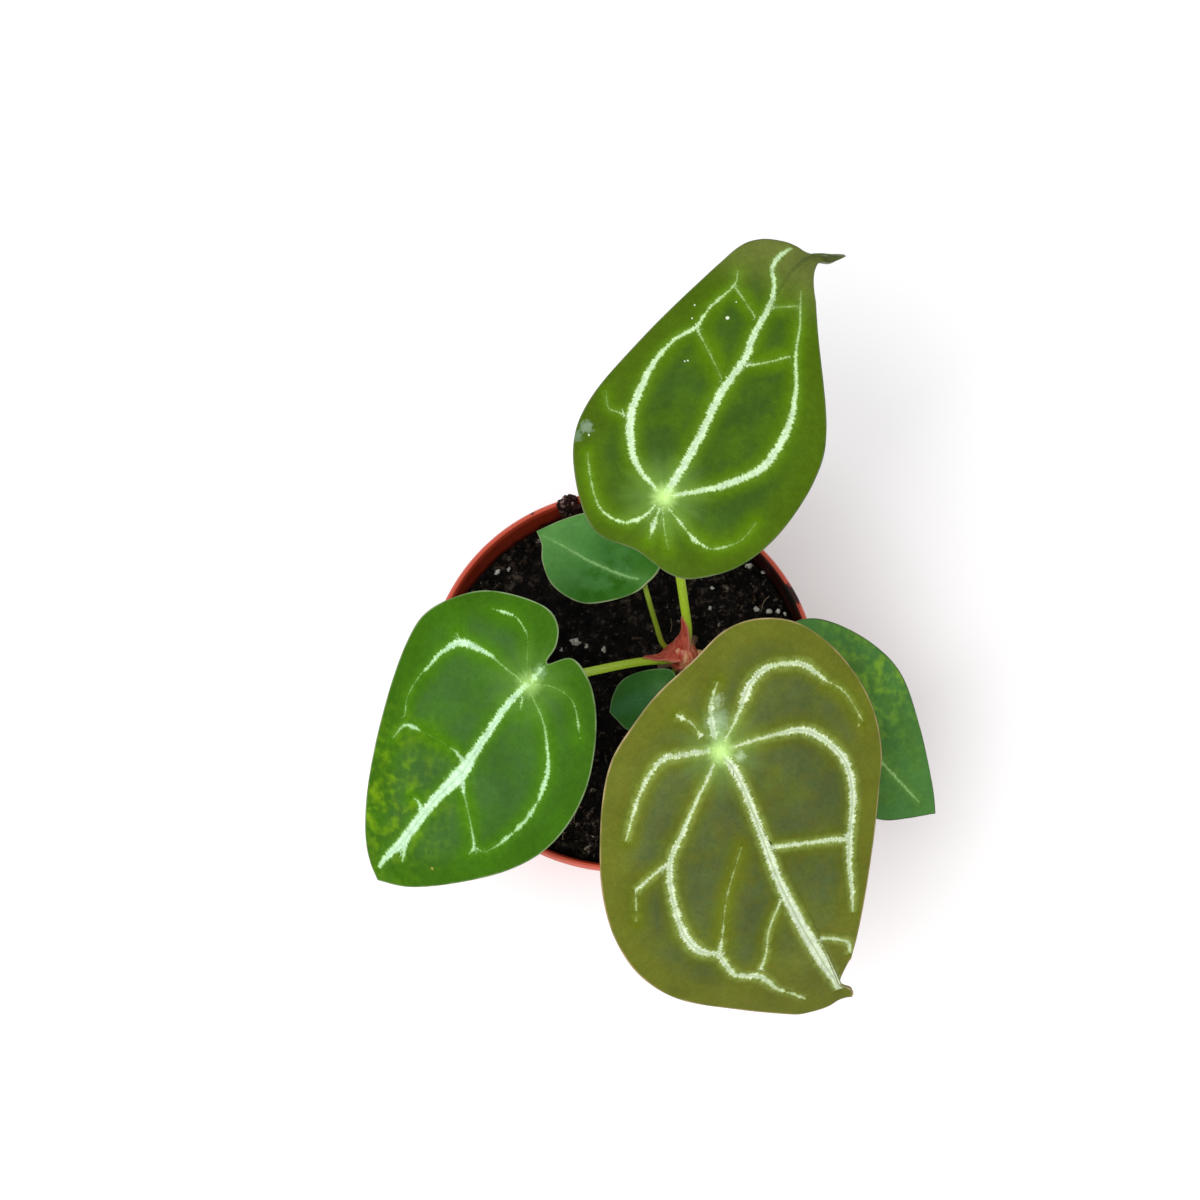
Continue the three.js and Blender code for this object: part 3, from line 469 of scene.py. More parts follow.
def blade_surface(leaf):
    """A function that puts a point, ahead and left and lifted off the middle of the blade, in space."""
    reach = STEP * math.ceil(max(abs(u) for u, _ in leaf["outline"]) / STEP + 8)
    stations = np.arange(-reach, reach + STEP / 2, STEP)
    walk = midrib_directions(leaf, (stations[1:] + stations[:-1]) / 2)[0] * STEP
    places = np.vstack([np.zeros(3), np.cumsum(walk, axis=0)])
    places += np.array(leaf["joint"]) - places[len(stations) // 2]
    _, left, up = midrib_directions(leaf, stations)

    def at(columns, u):
        return np.stack([np.interp(u, stations, column) for column in columns.T], -1)

    def place(u, v, lift):
        dimple = JOINT_DIMPLE * np.exp(-(u * u + v * v) / DIMPLE_RADIUS ** 2)
        rise = leaf["cup"] * v * v - dimple + lift
        return at(places, u) + at(left, u) * v[:, None] + at(up, u) * rise[:, None]
    return place


# %% [markdown]
# A vein has to stay sharp on a mesh whose faces are wider than the vein. So each vertex carries its
# signed distance to the nearest vein, wrapped round a circle as a sine and a cosine. Both change
# evenly from vertex to vertex, and the shader can turn them back into a distance anywhere between.

# %% Distances to the veins and to the margin
VEIN_REACH = 3.0
END_GIVES_WAY = 0.9


def closest(flat, row):
    """At the nearest point of a row: distance, side, value, way along it, and if an end is passed."""
    distance = np.full(len(flat), 1e9)
    side = np.zeros(len(flat))
    value = np.zeros(len(flat))
    run = np.zeros(len(flat))
    passed = np.zeros(len(flat))
    walked = 0.0
    last = len(row) - 2
    for i, (start, end) in enumerate(zip(row[:-1], row[1:])):
        step = end[:2] - start[:2]
        away = flat - start[:2]
        along = away @ step / max(step @ step, 1e-12)
        share = np.clip(along, 0, 1)
        off = away - share[:, None] * step
        far = np.hypot(*off.T)
        closer = far < distance
        distance = np.where(closer, far, distance)
        side = np.where(closer, np.sign(step[0] * off[:, 1] - step[1] * off[:, 0]), side)
        value = np.where(closer, start[2] + (end[2] - start[2]) * share, value)
        length = math.hypot(*step)
        run = np.where(closer, walked + length * share, run)
        walked += length
        beyond = (along > 1) if i == last else (along < 0) if i == 0 else (along > 2)
        passed = np.where(closer, beyond, passed)
    return distance, side, value, run, passed


def vein_fields(leaf, veins, flat):
    """The attributes that the blade's shader reads, for each vertex."""
    best = np.full(len(flat), 1e9)
    silver = np.zeros((len(flat), 3))
    nearest = np.full(len(flat), 12.0)
    strength = np.zeros(len(flat))
    run = np.zeros(len(flat))
    for number, (unbroken, points) in enumerate(veins):
        distance, side, width, along, passed = closest(flat, smooth_row(points, 8))
        score = distance - width / 2 + END_GIVES_WAY * passed
        wins = score < best
        best = np.where(wins, score, best)
        angle = side * np.clip(distance / VEIN_REACH, 0, 1) * math.pi
        fields = np.stack([np.cos(angle), np.sin(angle), width / 2], -1)
        silver = np.where(wins[:, None], fields, silver)
        strength = np.where(wins, np.where(passed > 0, 0.0, unbroken), strength)
        run = np.where(wins, along + 60 * number, run)
        nearest = np.minimum(nearest, distance)
    rows = [(u, v, 0) for u, v in leaf["outline"] + leaf["outline"][:1]]
    margin = closest(flat, smooth_row(rows, 4))[0]
    return silver, np.stack([nearest, margin, strength], -1), np.column_stack([flat, run])


# %% [markdown]
# ## The velvet of the blades
# The blade's tone lies in layers, which paint the sheen of the velvet and the shade of its puffed cells: a
# dark, slightly grey green in the middle of each cell between the veins, a clear yellow green beside the
# veins with a thin halo of painted sheen along the silver, and a lighter zone from the outer veins to the
# margin.
# The silver of the veins is air under the skin. It ends cell by cell in short feathers that stand
# square to the vein, so its noise is stretched across the vein and read along it. A thread runs in the
# middle of a wide vein. One group makes all of it, and each leaf sets its colours.

# %% Velvet blade group
BLADE_COLOURS = ["Cell", "Beside veins", "Outer zone", "Tip", "Silver", "Fine vein", "Thread", "Mottle",
                 "Rim"]
BLADE_VALUES = ["Tip from", "Thread share", "Glow", "Halo", "Spread", "Mottle share", "Mottle reach"]
FEATHER, TIP_FADE = 0.42, 18.0
STAR_REACH, SHEEN_REACH = 4.4, 13.0
# the star at the joint, partly the pale joint and partly painted sheen, and the painted sheen round it
JOINT_GLOW, JOINT_SHEEN = srgb(192, 232, 138), srgb(128, 166, 88)


def attribute(graph, name):
    return graph.add("Attribute", attribute_name=name).outputs["Vector"]


def split(graph, vector):
    return graph.add("SeparateXYZ", {0: vector}).outputs

def height_mm(graph, where):
    return graph.math("MULTIPLY", split(graph, where)[2], 1 / MM)


def joined(graph, x, y, z=0.0):
    return graph.add("CombineXYZ", {0: x, 1: y, 2: z}).outputs[0]


def vein_distance(graph):
    """Signed and plain distance to the nearest silver vein, in millimetres, and half its width."""
    cosine, sine, half = split(graph, attribute(graph, "silver"))
    signed = graph.math("MULTIPLY", graph.math("ARCTAN2", sine, cosine), VEIN_REACH / math.pi)
    return signed, graph.math("ABSOLUTE", signed), half


def feathered_silver(graph, given, where):
    """How far inside the silver a point is, in millimetres, and the mask of the silver."""
    signed, from_vein, half = vein_distance(graph)
    half = graph.math("ADD", half, given["Spread"])
    _, _, unbroken = split(graph, attribute(graph, "tone"))
    run = split(graph, attribute(graph, "flat"))[2]
    gaps = graph.math("SUBTRACT", 1.0, unbroken)
    across = joined(graph, graph.math("DIVIDE", run, FEATHER), graph.math("DIVIDE", signed, 4 * FEATHER))
    feather = graph.add("TexNoise", {"Vector": across, "Scale": 1.0, "Detail": 3.0,
                                     "Roughness": 0.6}).outputs[0]
    grain = graph.noise(where, 0.3, 3, 0.7)
    fuzz = graph.math("MULTIPLY_ADD", grain, 0.7, -0.35)
    jag = graph.math("ADD", graph.math("SUBTRACT", feather, 0.5), fuzz)
    jag = graph.math("MULTIPLY", jag, graph.ramp(half, 0.1, 1.3, 0.8, 2.1, False))
    along = joined(graph, graph.math("DIVIDE", run, 3.4), 0.0)
    swell = graph.add("TexNoise", {"Vector": along, "Scale": 1.0, "Detail": 3.0}).outputs[0]
    ragged = graph.ramp(gaps, 0, 1, 0.5, 5.0, False)
    swell = graph.math("MULTIPLY", graph.math("SUBTRACT", swell, 0.5), ragged)
    reach = graph.math("ADD", graph.math("MULTIPLY_ADD", gaps, -0.4, 0.84), swell)
    inside = graph.math("SUBTRACT", graph.math("MULTIPLY_ADD", half, reach, jag), from_vein)
    mask = graph.math("MULTIPLY", graph.ramp(inside, -0.12, 0.3), graph.ramp(unbroken, 0.0, 0.12))
    mask = graph.math("MULTIPLY", mask, graph.ramp(half, 0.15, 0.6, 0.35, 1.0, False))
    # a thin halo of painted sheen beside the silver, in the colour of the fine veins
    beside = graph.ramp(graph.math("SUBTRACT", half, from_vein), -1.3, 0.2)
    beside = graph.math("MULTIPLY", beside, graph.ramp(graph.noise(where, 1.6, 3), 0.3, 0.7, 0.4, 1.3, False))
    halo = graph.math("MULTIPLY", beside, graph.ramp(unbroken, 0.0, 0.6))
    return inside, mask, graph.math("MULTIPLY", halo, given["Halo"]), grain


def green_layers(graph, given, where):
    """The green of the blade without its silver, its layers of painted sheen and shade, and the nap of its
    velvet.
    """
    to_vein, to_margin, _ = split(graph, attribute(graph, "tone"))
    ahead, left, _ = split(graph, attribute(graph, "flat"))
    patches = graph.noise(where, 8, 3, 0.55)
    # painted sheen and shade: darker grey green in the middle of each cell, yellow green beside the veins,
    # lighter towards the margin
    cell = graph.math("MULTIPLY", graph.ramp(to_vein, 0.5, 5.0), graph.ramp(patches, 0.3, 0.6, 0.55, 1.0))
    outer = graph.math("MULTIPLY", graph.ramp(to_margin, 3.0, 11.0, 1, 0), graph.ramp(to_vein, 0.4, 3.5))
    green = graph.mix(cell, given["Beside veins"], given["Cell"])
    green = graph.mix(graph.math("MULTIPLY", outer, 0.85), green, given["Outer zone"])
    past = graph.math("DIVIDE", graph.math("SUBTRACT", ahead, given["Tip from"]), TIP_FADE)
    green = graph.mix(graph.ramp(past, 0.0, 1.0, 0, 0.85), green, given["Tip"])
    to_place = graph.add("VectorMath", {0: joined(graph, ahead, left), 1: given["Mottle place"]},
                         operation="DISTANCE").outputs["Value"]
    zone = graph.math("MULTIPLY", graph.math("SUBTRACT", 1.0, graph.math(
        "SMOOTH_MIN", graph.math("DIVIDE", to_place, given["Mottle reach"]), 1.0, 0.3)), 2.0)
    spots = graph.ramp(graph.noise(where, 3.2, 2, 0.5, 0.2), 0.4, 0.74)
    spots = graph.math("MULTIPLY", graph.math("MULTIPLY", spots, zone), given["Mottle share"])
    green = graph.mix(graph.add("Clamp", {0: spots}).outputs[0], green, given["Mottle"])
    velvet = graph.add("TexVoronoi", {"Vector": where, "Scale": 1 / (0.34 * MM)}).outputs["Distance"]
    nap = graph.math("MULTIPLY", graph.ramp(velvet, 0.0, 0.8, 1.1, 0.9, False),
                     graph.ramp(graph.noise(where, 1.6, 3, 0.6), 0.28, 0.72, 0.9, 1.1, False))
    nap = graph.math("MULTIPLY", nap, graph.ramp(graph.noise(where, 12, 3), 0.3, 0.7, 0.87, 1.13, False))
    green = graph.add("HueSaturation", {"Value": nap, "Color": green}).outputs[0]
    # a thin pale line at the margin: partly the pale margin itself and partly a painted edge highlight
    rim = graph.math("MULTIPLY", graph.ramp(to_margin, 0.12, 0.42, 1, 0),
                     graph.ramp(graph.noise(where, 6, 3), 0.35, 0.6, 0.25, 0.95))
    return graph.mix(rim, green, given["Rim"]), velvet


def joint_glow(graph, given):
    """The masks of a bright star at the joint, where all veins meet, partly their pale meeting and partly
    painted sheen, and of a wide faint painted sheen round it.
    """
    ahead, left, _ = split(graph, attribute(graph, "flat"))
    place = joined(graph, ahead, left)
    apart = graph.add("VectorMath", {0: place}, operation="LENGTH").outputs["Value"]
    way = graph.add("VectorMath", {0: place}, operation="NORMALIZE").outputs[0]
    rays = graph.add("TexNoise", {"Vector": way, "Scale": 3.0, "Detail": 3.0, "Roughness": 0.6}).outputs[0]
    ragged = graph.math("MULTIPLY", apart, graph.ramp(rays, 0.3, 0.7, 1.2, 0.85, False))
    near = graph.math("MULTIPLY", graph.ramp(ragged, 0.0, STAR_REACH, 1, 0), given["Glow"])
    return near, graph.math("MULTIPLY", graph.ramp(ragged, 1.5, SHEEN_REACH, 0.38, 0), given["Glow"])


def velvet_group():
    graph, given, out = new_group(
        "velvet_blade",
        [("Color", label) for label in BLADE_COLOURS] + [("Float", label) for label in BLADE_VALUES]
        + [("Vector", "Mottle place")],
        [("Color", "Color"), ("Float", "Height"), ("Float", "Roughness")])
    where = graph.here()
    _, from_vein, half = vein_distance(graph)
    inside, mask, halo, grain = feathered_silver(graph, given, where)
    near, joint_sheen = joint_glow(graph, given)
    green, velvet = green_layers(graph, given, where)
    green = graph.mix(joint_sheen, graph.mix(halo, green, given["Fine vein"]), JOINT_SHEEN)
    silver = graph.mix(graph.ramp(inside, 0.0, 0.75), given["Fine vein"], given["Silver"])
    bright = graph.math("MULTIPLY", graph.ramp(grain, 0.32, 0.68, 0.74, 1.14, False),
                        graph.ramp(graph.noise(where, 1.8, 3), 0.3, 0.7, 0.78, 1.1, False))
    silver = graph.add("HueSaturation", {"Value": bright, "Color": silver}).outputs[0]
    colour = graph.mix(mask, green, silver)
    thread = graph.math("MULTIPLY", graph.ramp(from_vein, 0.1, 0.36, 1, 0), graph.ramp(half, 0.3, 0.9))
    thread = graph.math("MULTIPLY", graph.math("MULTIPLY", thread, mask), given["Thread share"])
    colour = graph.mix(thread, colour, given["Thread"])
    colour = graph.mix(near, colour, JOINT_GLOW)
    graph.feed(out["Color"], colour)
    groove = graph.ramp(from_vein, 0.0, 0.45, -0.10, 0.0)
    quilt = graph.math("MULTIPLY_ADD", velvet, 0.02, graph.math("MULTIPLY", graph.noise(where, 1.6, 3), 0.14))
    graph.feed(out["Height"], graph.math("ADD", groove, graph.math("MULTIPLY_ADD", mask, 0.04, quilt)))
    graph.feed(out["Roughness"], graph.ramp(mask, 0, 1, 0.62, 0.5))
    return graph.tree


VELVET = velvet_group()
print("velvet:", len(VELVET.nodes), "nodes")

# %% [markdown]
# Marks that sit at one place of a leaf, such as specks of dust, a scuffed patch or painted shade at a folded
# tip, are a second
# group: a soft round spot at a place of the flat blade, with a ragged edge.

# %% Spot group
def spot_group():
    graph, given, out = new_group(
        "leaf_spot", [("Color", "Color"), ("Vector", "Place"), ("Float", "Radius"), ("Float", "Rag"),
                      ("Float", "Soft"), ("Float", "Share"), ("Color", "Mark")], [("Color", "Color")])
    ahead, left, _ = split(graph, attribute(graph, "flat"))
    away = graph.add("VectorMath", {0: joined(graph, ahead, left), 1: given["Place"]},
                     operation="DISTANCE").outputs["Value"]
    ragged = graph.math("SUBTRACT", graph.noise(graph.here(), 0.9, 4, 0.65), 0.5)
    inside = graph.math("SUBTRACT", graph.math("MULTIPLY_ADD", ragged, given["Rag"], given["Radius"]), away)
    mask = graph.add("Clamp", {0: graph.math("DIVIDE", inside, given["Soft"])}).outputs[0]
    mask = graph.math("MULTIPLY", mask, given["Share"])
    graph.feed(out["Color"], graph.mix(mask, given["Color"], given["Mark"]))
    return graph.tree


SPOT = spot_group()
SPOT_VALUES = ["Radius", "Rag", "Soft", "Share"]
print("spot:", len(SPOT.nodes), "nodes")

# %% [markdown]
# A blade has three finishes: the velvet face, a paler underside on which the veins stand out, and the
# cut edge, a thin pale line. One function makes each, because the six leaves differ only in colour:
# the front one is young and bronze, and the small ones have hardly any silver yet. Six materials
# built by hand would drift apart.


# %% Blade materials
def blade_material(name, colours, tip=200, thread=0.1, glow=1.0, halo=0.12, spread=0.12,
                   mottle=(0.0, (0, 0), 40), spots=()):
    """colours go in the group's order. mottle is its share, its middle on the flat blade and its reach."""
    material, graph, shader = new_material(name, srgb(*colours[0]))
    group = graph.add("Group", node_tree=VELVET)
    for label, colour in zip(BLADE_COLOURS, colours):
        graph.feed(group.inputs[label], srgb(*colour))
    share, place, reach = mottle
    for label, value in zip(BLADE_VALUES, (tip, thread, glow, halo, spread, share, reach)):
        graph.feed(group.inputs[label], value)
    graph.feed(group.inputs["Mottle place"], (*place, 0))
    colour = group.outputs["Color"]
    for place, values, mark in spots:
        spot = graph.add("Group", node_tree=SPOT)
        settings = {"Color": colour, "Place": (*place, 0), "Mark": srgb(*mark)}
        for label, value in [*settings.items(), *zip(SPOT_VALUES, values)]:
            graph.feed(spot.inputs[label], value)
        colour = spot.outputs[0]
    graph.feed(shader["Base Color"], colour)
    graph.feed(shader["Roughness"], group.outputs["Roughness"])
    graph.feed(shader["Normal"], graph.bump(group.outputs["Height"], 0.8))
    shader["Sheen Weight"].default_value = 0.015
    shader["Sheen Roughness"].default_value = 0.4
    shader["Sheen Tint"].default_value = srgb(180, 210, 120)
    shader["Specular IOR Level"].default_value = 0.06
    return material


def underside_material(name, pale, vein):
    material, graph, shader = new_material(name, srgb(*pale))
    where = graph.here()
    line = graph.ramp(vein_distance(graph)[1], 0.15, 0.55, 1, 0)
    colour = graph.mix(line, srgb(*pale), srgb(*vein))
    graph.feed(shader["Base Color"], uneven(graph, colour, where, 4, 0.86, 1.14))
    graph.feed(shader["Roughness"], graph.ramp(graph.noise(where, 1.5, 3), 0.3, 0.7, 0.55, 0.72))
    height = graph.math("MULTIPLY_ADD", line, 0.3, graph.math("MULTIPLY", graph.noise(where, 0.8, 3), 0.06))
    graph.feed(shader["Normal"], graph.bump(height))
    return material


def margin_material(name, colour):
    material, graph, shader = new_material(name, srgb(*colour))
    graph.feed(shader["Base Color"], uneven(graph, srgb(*colour), graph.here(), 2.5, 0.84, 1.13))
    shader["Roughness"].default_value = 0.5
    return material


def looks(name, colours, pale, vein, edge, **more):
    return dict(top=blade_material("blade_" + name + "_top", colours, **more),
                under=underside_material("blade_" + name + "_under", pale, vein),
                edge=margin_material("blade_" + name + "_margin", edge))


DUST = (214, 224, 204)
SPECK, DOT = (0.55, 0.3, 0.2, 1.0), (0.28, 0.25, 0.15, 0.9)
BLADE_LOOKS = {
    "back": looks(
        "back",
        [(55, 84, 22), (79, 114, 0), (70, 96, 6), (104, 114, 52), (212, 236, 202), (162, 200, 110),
         (156, 192, 120), (84, 100, 10), (96, 108, 72)],
        (112, 134, 78), (150, 172, 110), (104, 112, 76), tip=52, halo=0.06, spread=0.05, thread=0.3,
        spots=[((47, 6.5), SPECK, DUST), ((52, 6.5), DOT, DUST), ((32.5, 10), DOT, DUST),
               ((32, 10.6), DOT, DUST), ((43, 14), DOT, DUST), ((26, 1.4), DOT, (80, 110, 80)),
               ((46.4, 15), DOT, DUST), ((7, 24), (2.0, 3.6, 1.1, 0.75), (128, 148, 124)),
               ((4.2, 25), (1.6, 3.6, 0.9, 0.65), (112, 136, 110)), ((5.4, 22.6), DOT, DUST),
               # painted shade on the folded tip
               ((85, -2.6), (5.0, 0.6, 3.0, 0.65), (60, 66, 38))]),
    "left": looks(
        "left",
        [(58, 95, 37), (61, 108, 2), (54, 98, 0), (80, 114, 8), (202, 236, 200), (142, 190, 94),
         (126, 172, 118), (100, 138, 10), (124, 146, 102)],
        (112, 140, 86), (152, 176, 114), (120, 140, 96), glow=0.55, tip=60, thread=0.3, halo=0.06,
        spread=0.06, mottle=(0.6, (50, -17), 30),
        spots=[((52.5, 8.5), (0.5, 0.7, 0.4, 0.9), (176, 156, 72)),
               ((-4, 0.4), (2.0, 3.0, 2.0, 0.5), (160, 196, 150))]),
    "front": looks(
        "front",
        [(78, 91, 48), (91, 103, 18), (98, 104, 27), (96, 102, 33), (218, 230, 202), (158, 180, 98),
         (132, 164, 92), (94, 82, 14), (168, 146, 108)],
        (124, 124, 78), (168, 164, 106), (168, 146, 108), tip=44, thread=0.5, glow=1.0, halo=0.3,
        spread=0.22, mottle=(0.16, (30, 0), 70),
        spots=[((-6.6, 3.0), (3.6, 5.0, 4.2, 0.7), (166, 190, 158)),
               ((-3.6, 1.6), (3.0, 4.0, 4.0, 0.6), (160, 196, 140)),
               ((-10.6, 5.2), (2.0, 5.0, 2.4, 0.65), (172, 192, 154)),
               ((3.5, 3.2), (1.6, 3.0, 1.8, 0.8), (186, 208, 164)),
               ((12.6, 32.2), (0.5, 1.6, 0.5, 0.7), (196, 200, 140)),
               ((14.2, 31.2), (0.4, 1.4, 0.4, 0.7), (190, 194, 136))]),
    "right": looks(
        "right",
        [(70, 116, 56), (78, 122, 52), (74, 122, 58), (78, 124, 58), (158, 200, 132), (128, 172, 92),
         (118, 156, 86), (112, 154, 48), (70, 92, 52)],
        (108, 136, 84), (148, 172, 112), (84, 108, 62), glow=0.15, mottle=(0.6, (16, 13), 26)),
    "small_back": looks(
        "small_back",
        [(52, 106, 44), (62, 112, 50), (46, 98, 22), (84, 136, 68), (132, 176, 112), (116, 164, 92),
         (108, 156, 90), (40, 88, 14), (138, 150, 112)],
        (104, 134, 88), (142, 168, 112), (138, 150, 108), glow=0.05, tip=10, spread=0.2,
        mottle=(0.9, (4, 8), 18)),
    "small_low": looks(
        "small_low",
        [(50, 98, 56), (54, 102, 56), (46, 92, 30), (54, 100, 60), (92, 140, 86), (72, 120, 66),
         (80, 128, 74), (54, 100, 52), (98, 124, 84)],
        (96, 126, 88), (132, 158, 108), (100, 120, 84), glow=0.05),
}
print("blade finishes:", sum(len(skins) for skins in BLADE_LOOKS.values()))

# %% [markdown]
# ## Making the blades
# The grid's columns go round the joint and its rows go out to the margin. The rows lie closer at the
# margin. The veins are pressed into the blade and the cells between them swell a little. A Solidify
# modifier then gives the thickness, with the underside and the cut edge in materials of their own.

# %% Blades
BLADE_THICKNESS = 0.5
ROW_SPREAD = 0.75
FINE, SMALL = (330, 104), (150, 44)
VEIN_DEPTH, VEIN_VALLEY, CELL_SWELL = 0.3, 1.1, 0.35


def make_blade(name, leaf, veins, skins):
    columns, rows = SMALL if name.startswith("small") else FINE
    outline = leaf["outline"]
    margin = smooth_row([(u, v) for u, v in outline + outline[:1]], 24)
    share_round = np.linspace(0, 1, 4 * columns + 1)
    at_margin = np.linspace(0, 1, len(margin))
    walked = np.r_[0, np.cumsum(np.linalg.norm(np.diff(margin, axis=0), axis=1))]
    spread = evenly(margin, 4 * columns + 1)
    # most of the columns' places come from length, the rest from the outline's own points
    own = np.interp(share_round, at_margin, walked)
    own = 0.6 * share_round + 0.4 * own / own[-1]
    turn_of = np.interp(own, walked / walked[-1], at_margin)
    surface = blade_surface(leaf)
    flat_of = {}

    def place(across, down):
        at = np.interp(across, share_round, own)
        edge = np.stack([np.interp(at, share_round, column) for column in spread.T], -1)
        share = down ** ROW_SPREAD
        flat = edge * share[:, None]
        silver, tone, run = vein_fields(leaf, veins, flat)
        sunk = -VEIN_DEPTH * np.exp(-(tone[:, 0] / VEIN_VALLEY) ** 2) * np.clip(silver[:, 2] / 0.8, 0.15, 1)
        swell = CELL_SWELL * np.clip(tone[:, 0] / 5, 0, 1) ** 2 * np.clip(tone[:, 1] / 4, 0, 1)
        turn = np.interp(across, share_round, turn_of)
        wave = leaf["wave"] * share ** 3 * np.sin(leaf["waves"] * 2 * math.pi * turn)
        flat_of.update(silver=silver, tone=tone, flat=run)
        start, end, aside = leaf.get("hook", (0, 1, 0))
        slid = np.clip((flat[:, 0] - start) / (end - start), 0, 1)
        left = flat[:, 1] + aside * slid * slid * (3 - 2 * slid)
        return surface(flat[:, 0], left, BLADE_THICKNESS / 2 + wave + sunk + swell) * MM

    bm = bent_grid(columns, rows, place)
    carry(bm, flat_of)
    bmesh.ops.remove_doubles(bm, verts=bm.verts, dist=MERGE)
    bmesh.ops.reverse_faces(bm, faces=bm.faces)
    piece = finish_mesh(bm, "leaf_" + name, recalculate=False)
    wear(piece, skins["top"], skins["under"], skins["edge"])
    skin = piece.modifiers.new("thickness", "SOLIDIFY")
    skin.thickness = BLADE_THICKNESS * MM
    skin.offset = -1
    skin.material_offset = 1
    skin.material_offset_rim = 2
    return piece


SLOTS = {"back": "leaf_green", "left": "leaf_green", "front": "leaf_bronze", "right": "leaf_green",
         "small_back": "leaf_juvenile", "small_low": "leaf_juvenile"}
for name, leaf in LEAVES.items():
    blade = make_blade(name, leaf, VEINS[name], BLADE_LOOKS[name])
    settle(blade, SLOTS[name], "blade_" + name)

# %% [markdown]
# ## The stalks
# A petiole is a juicy yellow-green rod with a shallow channel on its upper side. Its foot is wider
# where it clasps the crown, and a thickened knee turns the blade towards the light. It is a grid
# rolled into a tube along a curve, closed at both ends.

# %% Curves through points
def centripetal(points, steps=24):
    """A smooth curve that spends the square root of each gap between points, as a steady hand would."""
    rows = [np.asarray(point, float) for point in points]
    rows = [2 * rows[0] - rows[1], *rows, 2 * rows[-1] - rows[-2]]
    out = []
    for a, b, c, d in zip(rows, rows[1:], rows[2:], rows[3:]):
        gaps = [max(np.linalg.norm(q - p) ** 0.5, 1e-6) for p, q in ((a, b), (b, c), (c, d))]
        start = (b - a) / gaps[0] - (c - a) / (gaps[0] + gaps[1]) + (c - b) / gaps[1]
        end = (c - b) / gaps[1] - (d - b) / (gaps[1] + gaps[2]) + (d - c) / gaps[2]
        start, end = start * gaps[1], end * gaps[1]
        for t in np.arange(steps) / steps:
            out.append(b + start * t + (3 * c - 3 * b - 2 * start - end) * t ** 2
                       + (2 * b - 2 * c + start + end) * t ** 3)
    out.append(rows[-2])
    return np.array(out)


def tube_frames(points, facing):
    """Along the curve at each point, and two directions square to it. The first leans towards facing."""
    along = np.gradient(points, axis=0)
    along /= np.linalg.norm(along, axis=1)[:, None]
    out = np.asarray(facing, float) - (along @ np.asarray(facing, float))[:, None] * along
    out /= np.linalg.norm(out, axis=1)[:, None]
    return along, out, np.cross(along, out)


def tube(points, radius_at, sides, facing=(0, 0, 1), dome=0.6):
    """A closed rod along the points, in millimetres. radius_at(along, angle) gives its radius.
    dome is how far its ends bulge, as a share of the radius."""
    rows = len(points) - 1
    _, out, beside = tube_frames(points, facing)
    caps = 3

    def place(across, down):
        step = np.clip(down * (rows + 2 * caps) - caps, 0, rows)
        over = np.abs(down * (rows + 2 * caps) - caps - step) / caps
        angle = 2 * math.pi * across
        index = np.rint(step).astype(int)
        radius = radius_at(index / rows, angle) * np.sqrt(np.clip(1 - over ** 2, 0, 1))
        spoke = out[index] * np.cos(angle)[:, None] + beside[index] * np.sin(angle)[:, None]
        first, last = points[0] - points[1], points[-1] - points[-2]
        ends = np.where((step <= 0)[:, None], first / np.linalg.norm(first), last / np.linalg.norm(last))
        bulge = ends * (over * dome * radius_at(index / rows, angle))[:, None]
        return (points[index] + spoke * radius[:, None] + bulge) * MM

    bm = bent_grid(sides, rows + 2 * caps, place)
    bmesh.ops.remove_doubles(bm, verts=bm.verts, dist=MERGE)
    return bm


# %% [markdown]
# The skin of a stalk is smooth, juicy and faintly lined along its length, and its foot takes on the
# tan of the sheath. A little light passes through it, so the shader has some subsurface scattering,
# without which it would look like painted wire.

# %% Stalk finish
def stalk_material(name, green, foot, foot_height):
    """The foot of the stalk takes on the colour of its sheath up to a height in millimetres."""
    material, graph, shader = new_material(name, srgb(*green))
    where = graph.here()
    height = height_mm(graph, where)
    ragged = graph.math("MULTIPLY_ADD", graph.noise(where, 2.5, 3), 6.0, height)
    # the tan runs higher up on the side of the stalks that turns away from the sheaths
    right = graph.ramp(split(graph, where)[0], 0.0158, 0.0172, 0, 8)
    low = graph.ramp(graph.math("SUBTRACT", ragged, right), foot_height, foot_height + 10, 1, 0)
    stretched = graph.add("Mapping", {"Vector": where, "Scale": (1.0, 1.0, 0.12)}).outputs[0]
    colour = graph.mix(low, srgb(*green), srgb(*foot))
    graph.feed(shader["Base Color"], uneven(graph, colour, stretched, 0.35, 0.87, 1.13))
    graph.feed(shader["Roughness"], graph.ramp(graph.noise(where, 1.2, 3), 0.3, 0.7, 0.34, 0.5))
    graph.feed(shader["Normal"], graph.bump(graph.math("MULTIPLY", graph.noise(stretched, 0.3, 3), 0.12)))
    shader["Subsurface Weight"].default_value = 0.08
    shader["Subsurface Radius"].default_value = (0.002, 0.003, 0.0008)
    return material


STALK_GREEN = stalk_material("stalk_green", (166, 197, 44), (198, 160, 106), 87)
STALK_THIN = stalk_material("stalk_thin", (124, 148, 36), (104, 116, 40), 79)
print("stalk finishes:", STALK_GREEN.name, STALK_THIN.name)

# %% [markdown]
# Each stalk runs through the same points as its solid and ends inside the blade. Its radius depends on
# the way along it and on the angle round it, so that the foot, the knee and the channel need no pieces
# of their own.

# %% Stalks
STALK_END = 0.3
KNEE_GAP = 0.65


def stalk_curve(leaf, count):
    """The stalk's middle line, from the crown to just inside the blade."""
    surface = blade_surface(leaf)
    under = [surface(np.zeros(1), np.zeros(1), np.full(1, -depth))[0]
             for depth in (KNEE_GAP + 4.5 * math.sqrt(leaf["stalk_radius"]), KNEE_GAP)]
    curve = evenly(centripetal([*leaf["stalk"], *under]), count)
    return np.vstack([curve, surface(np.zeros(1), np.zeros(1), np.full(1, -STALK_END))])


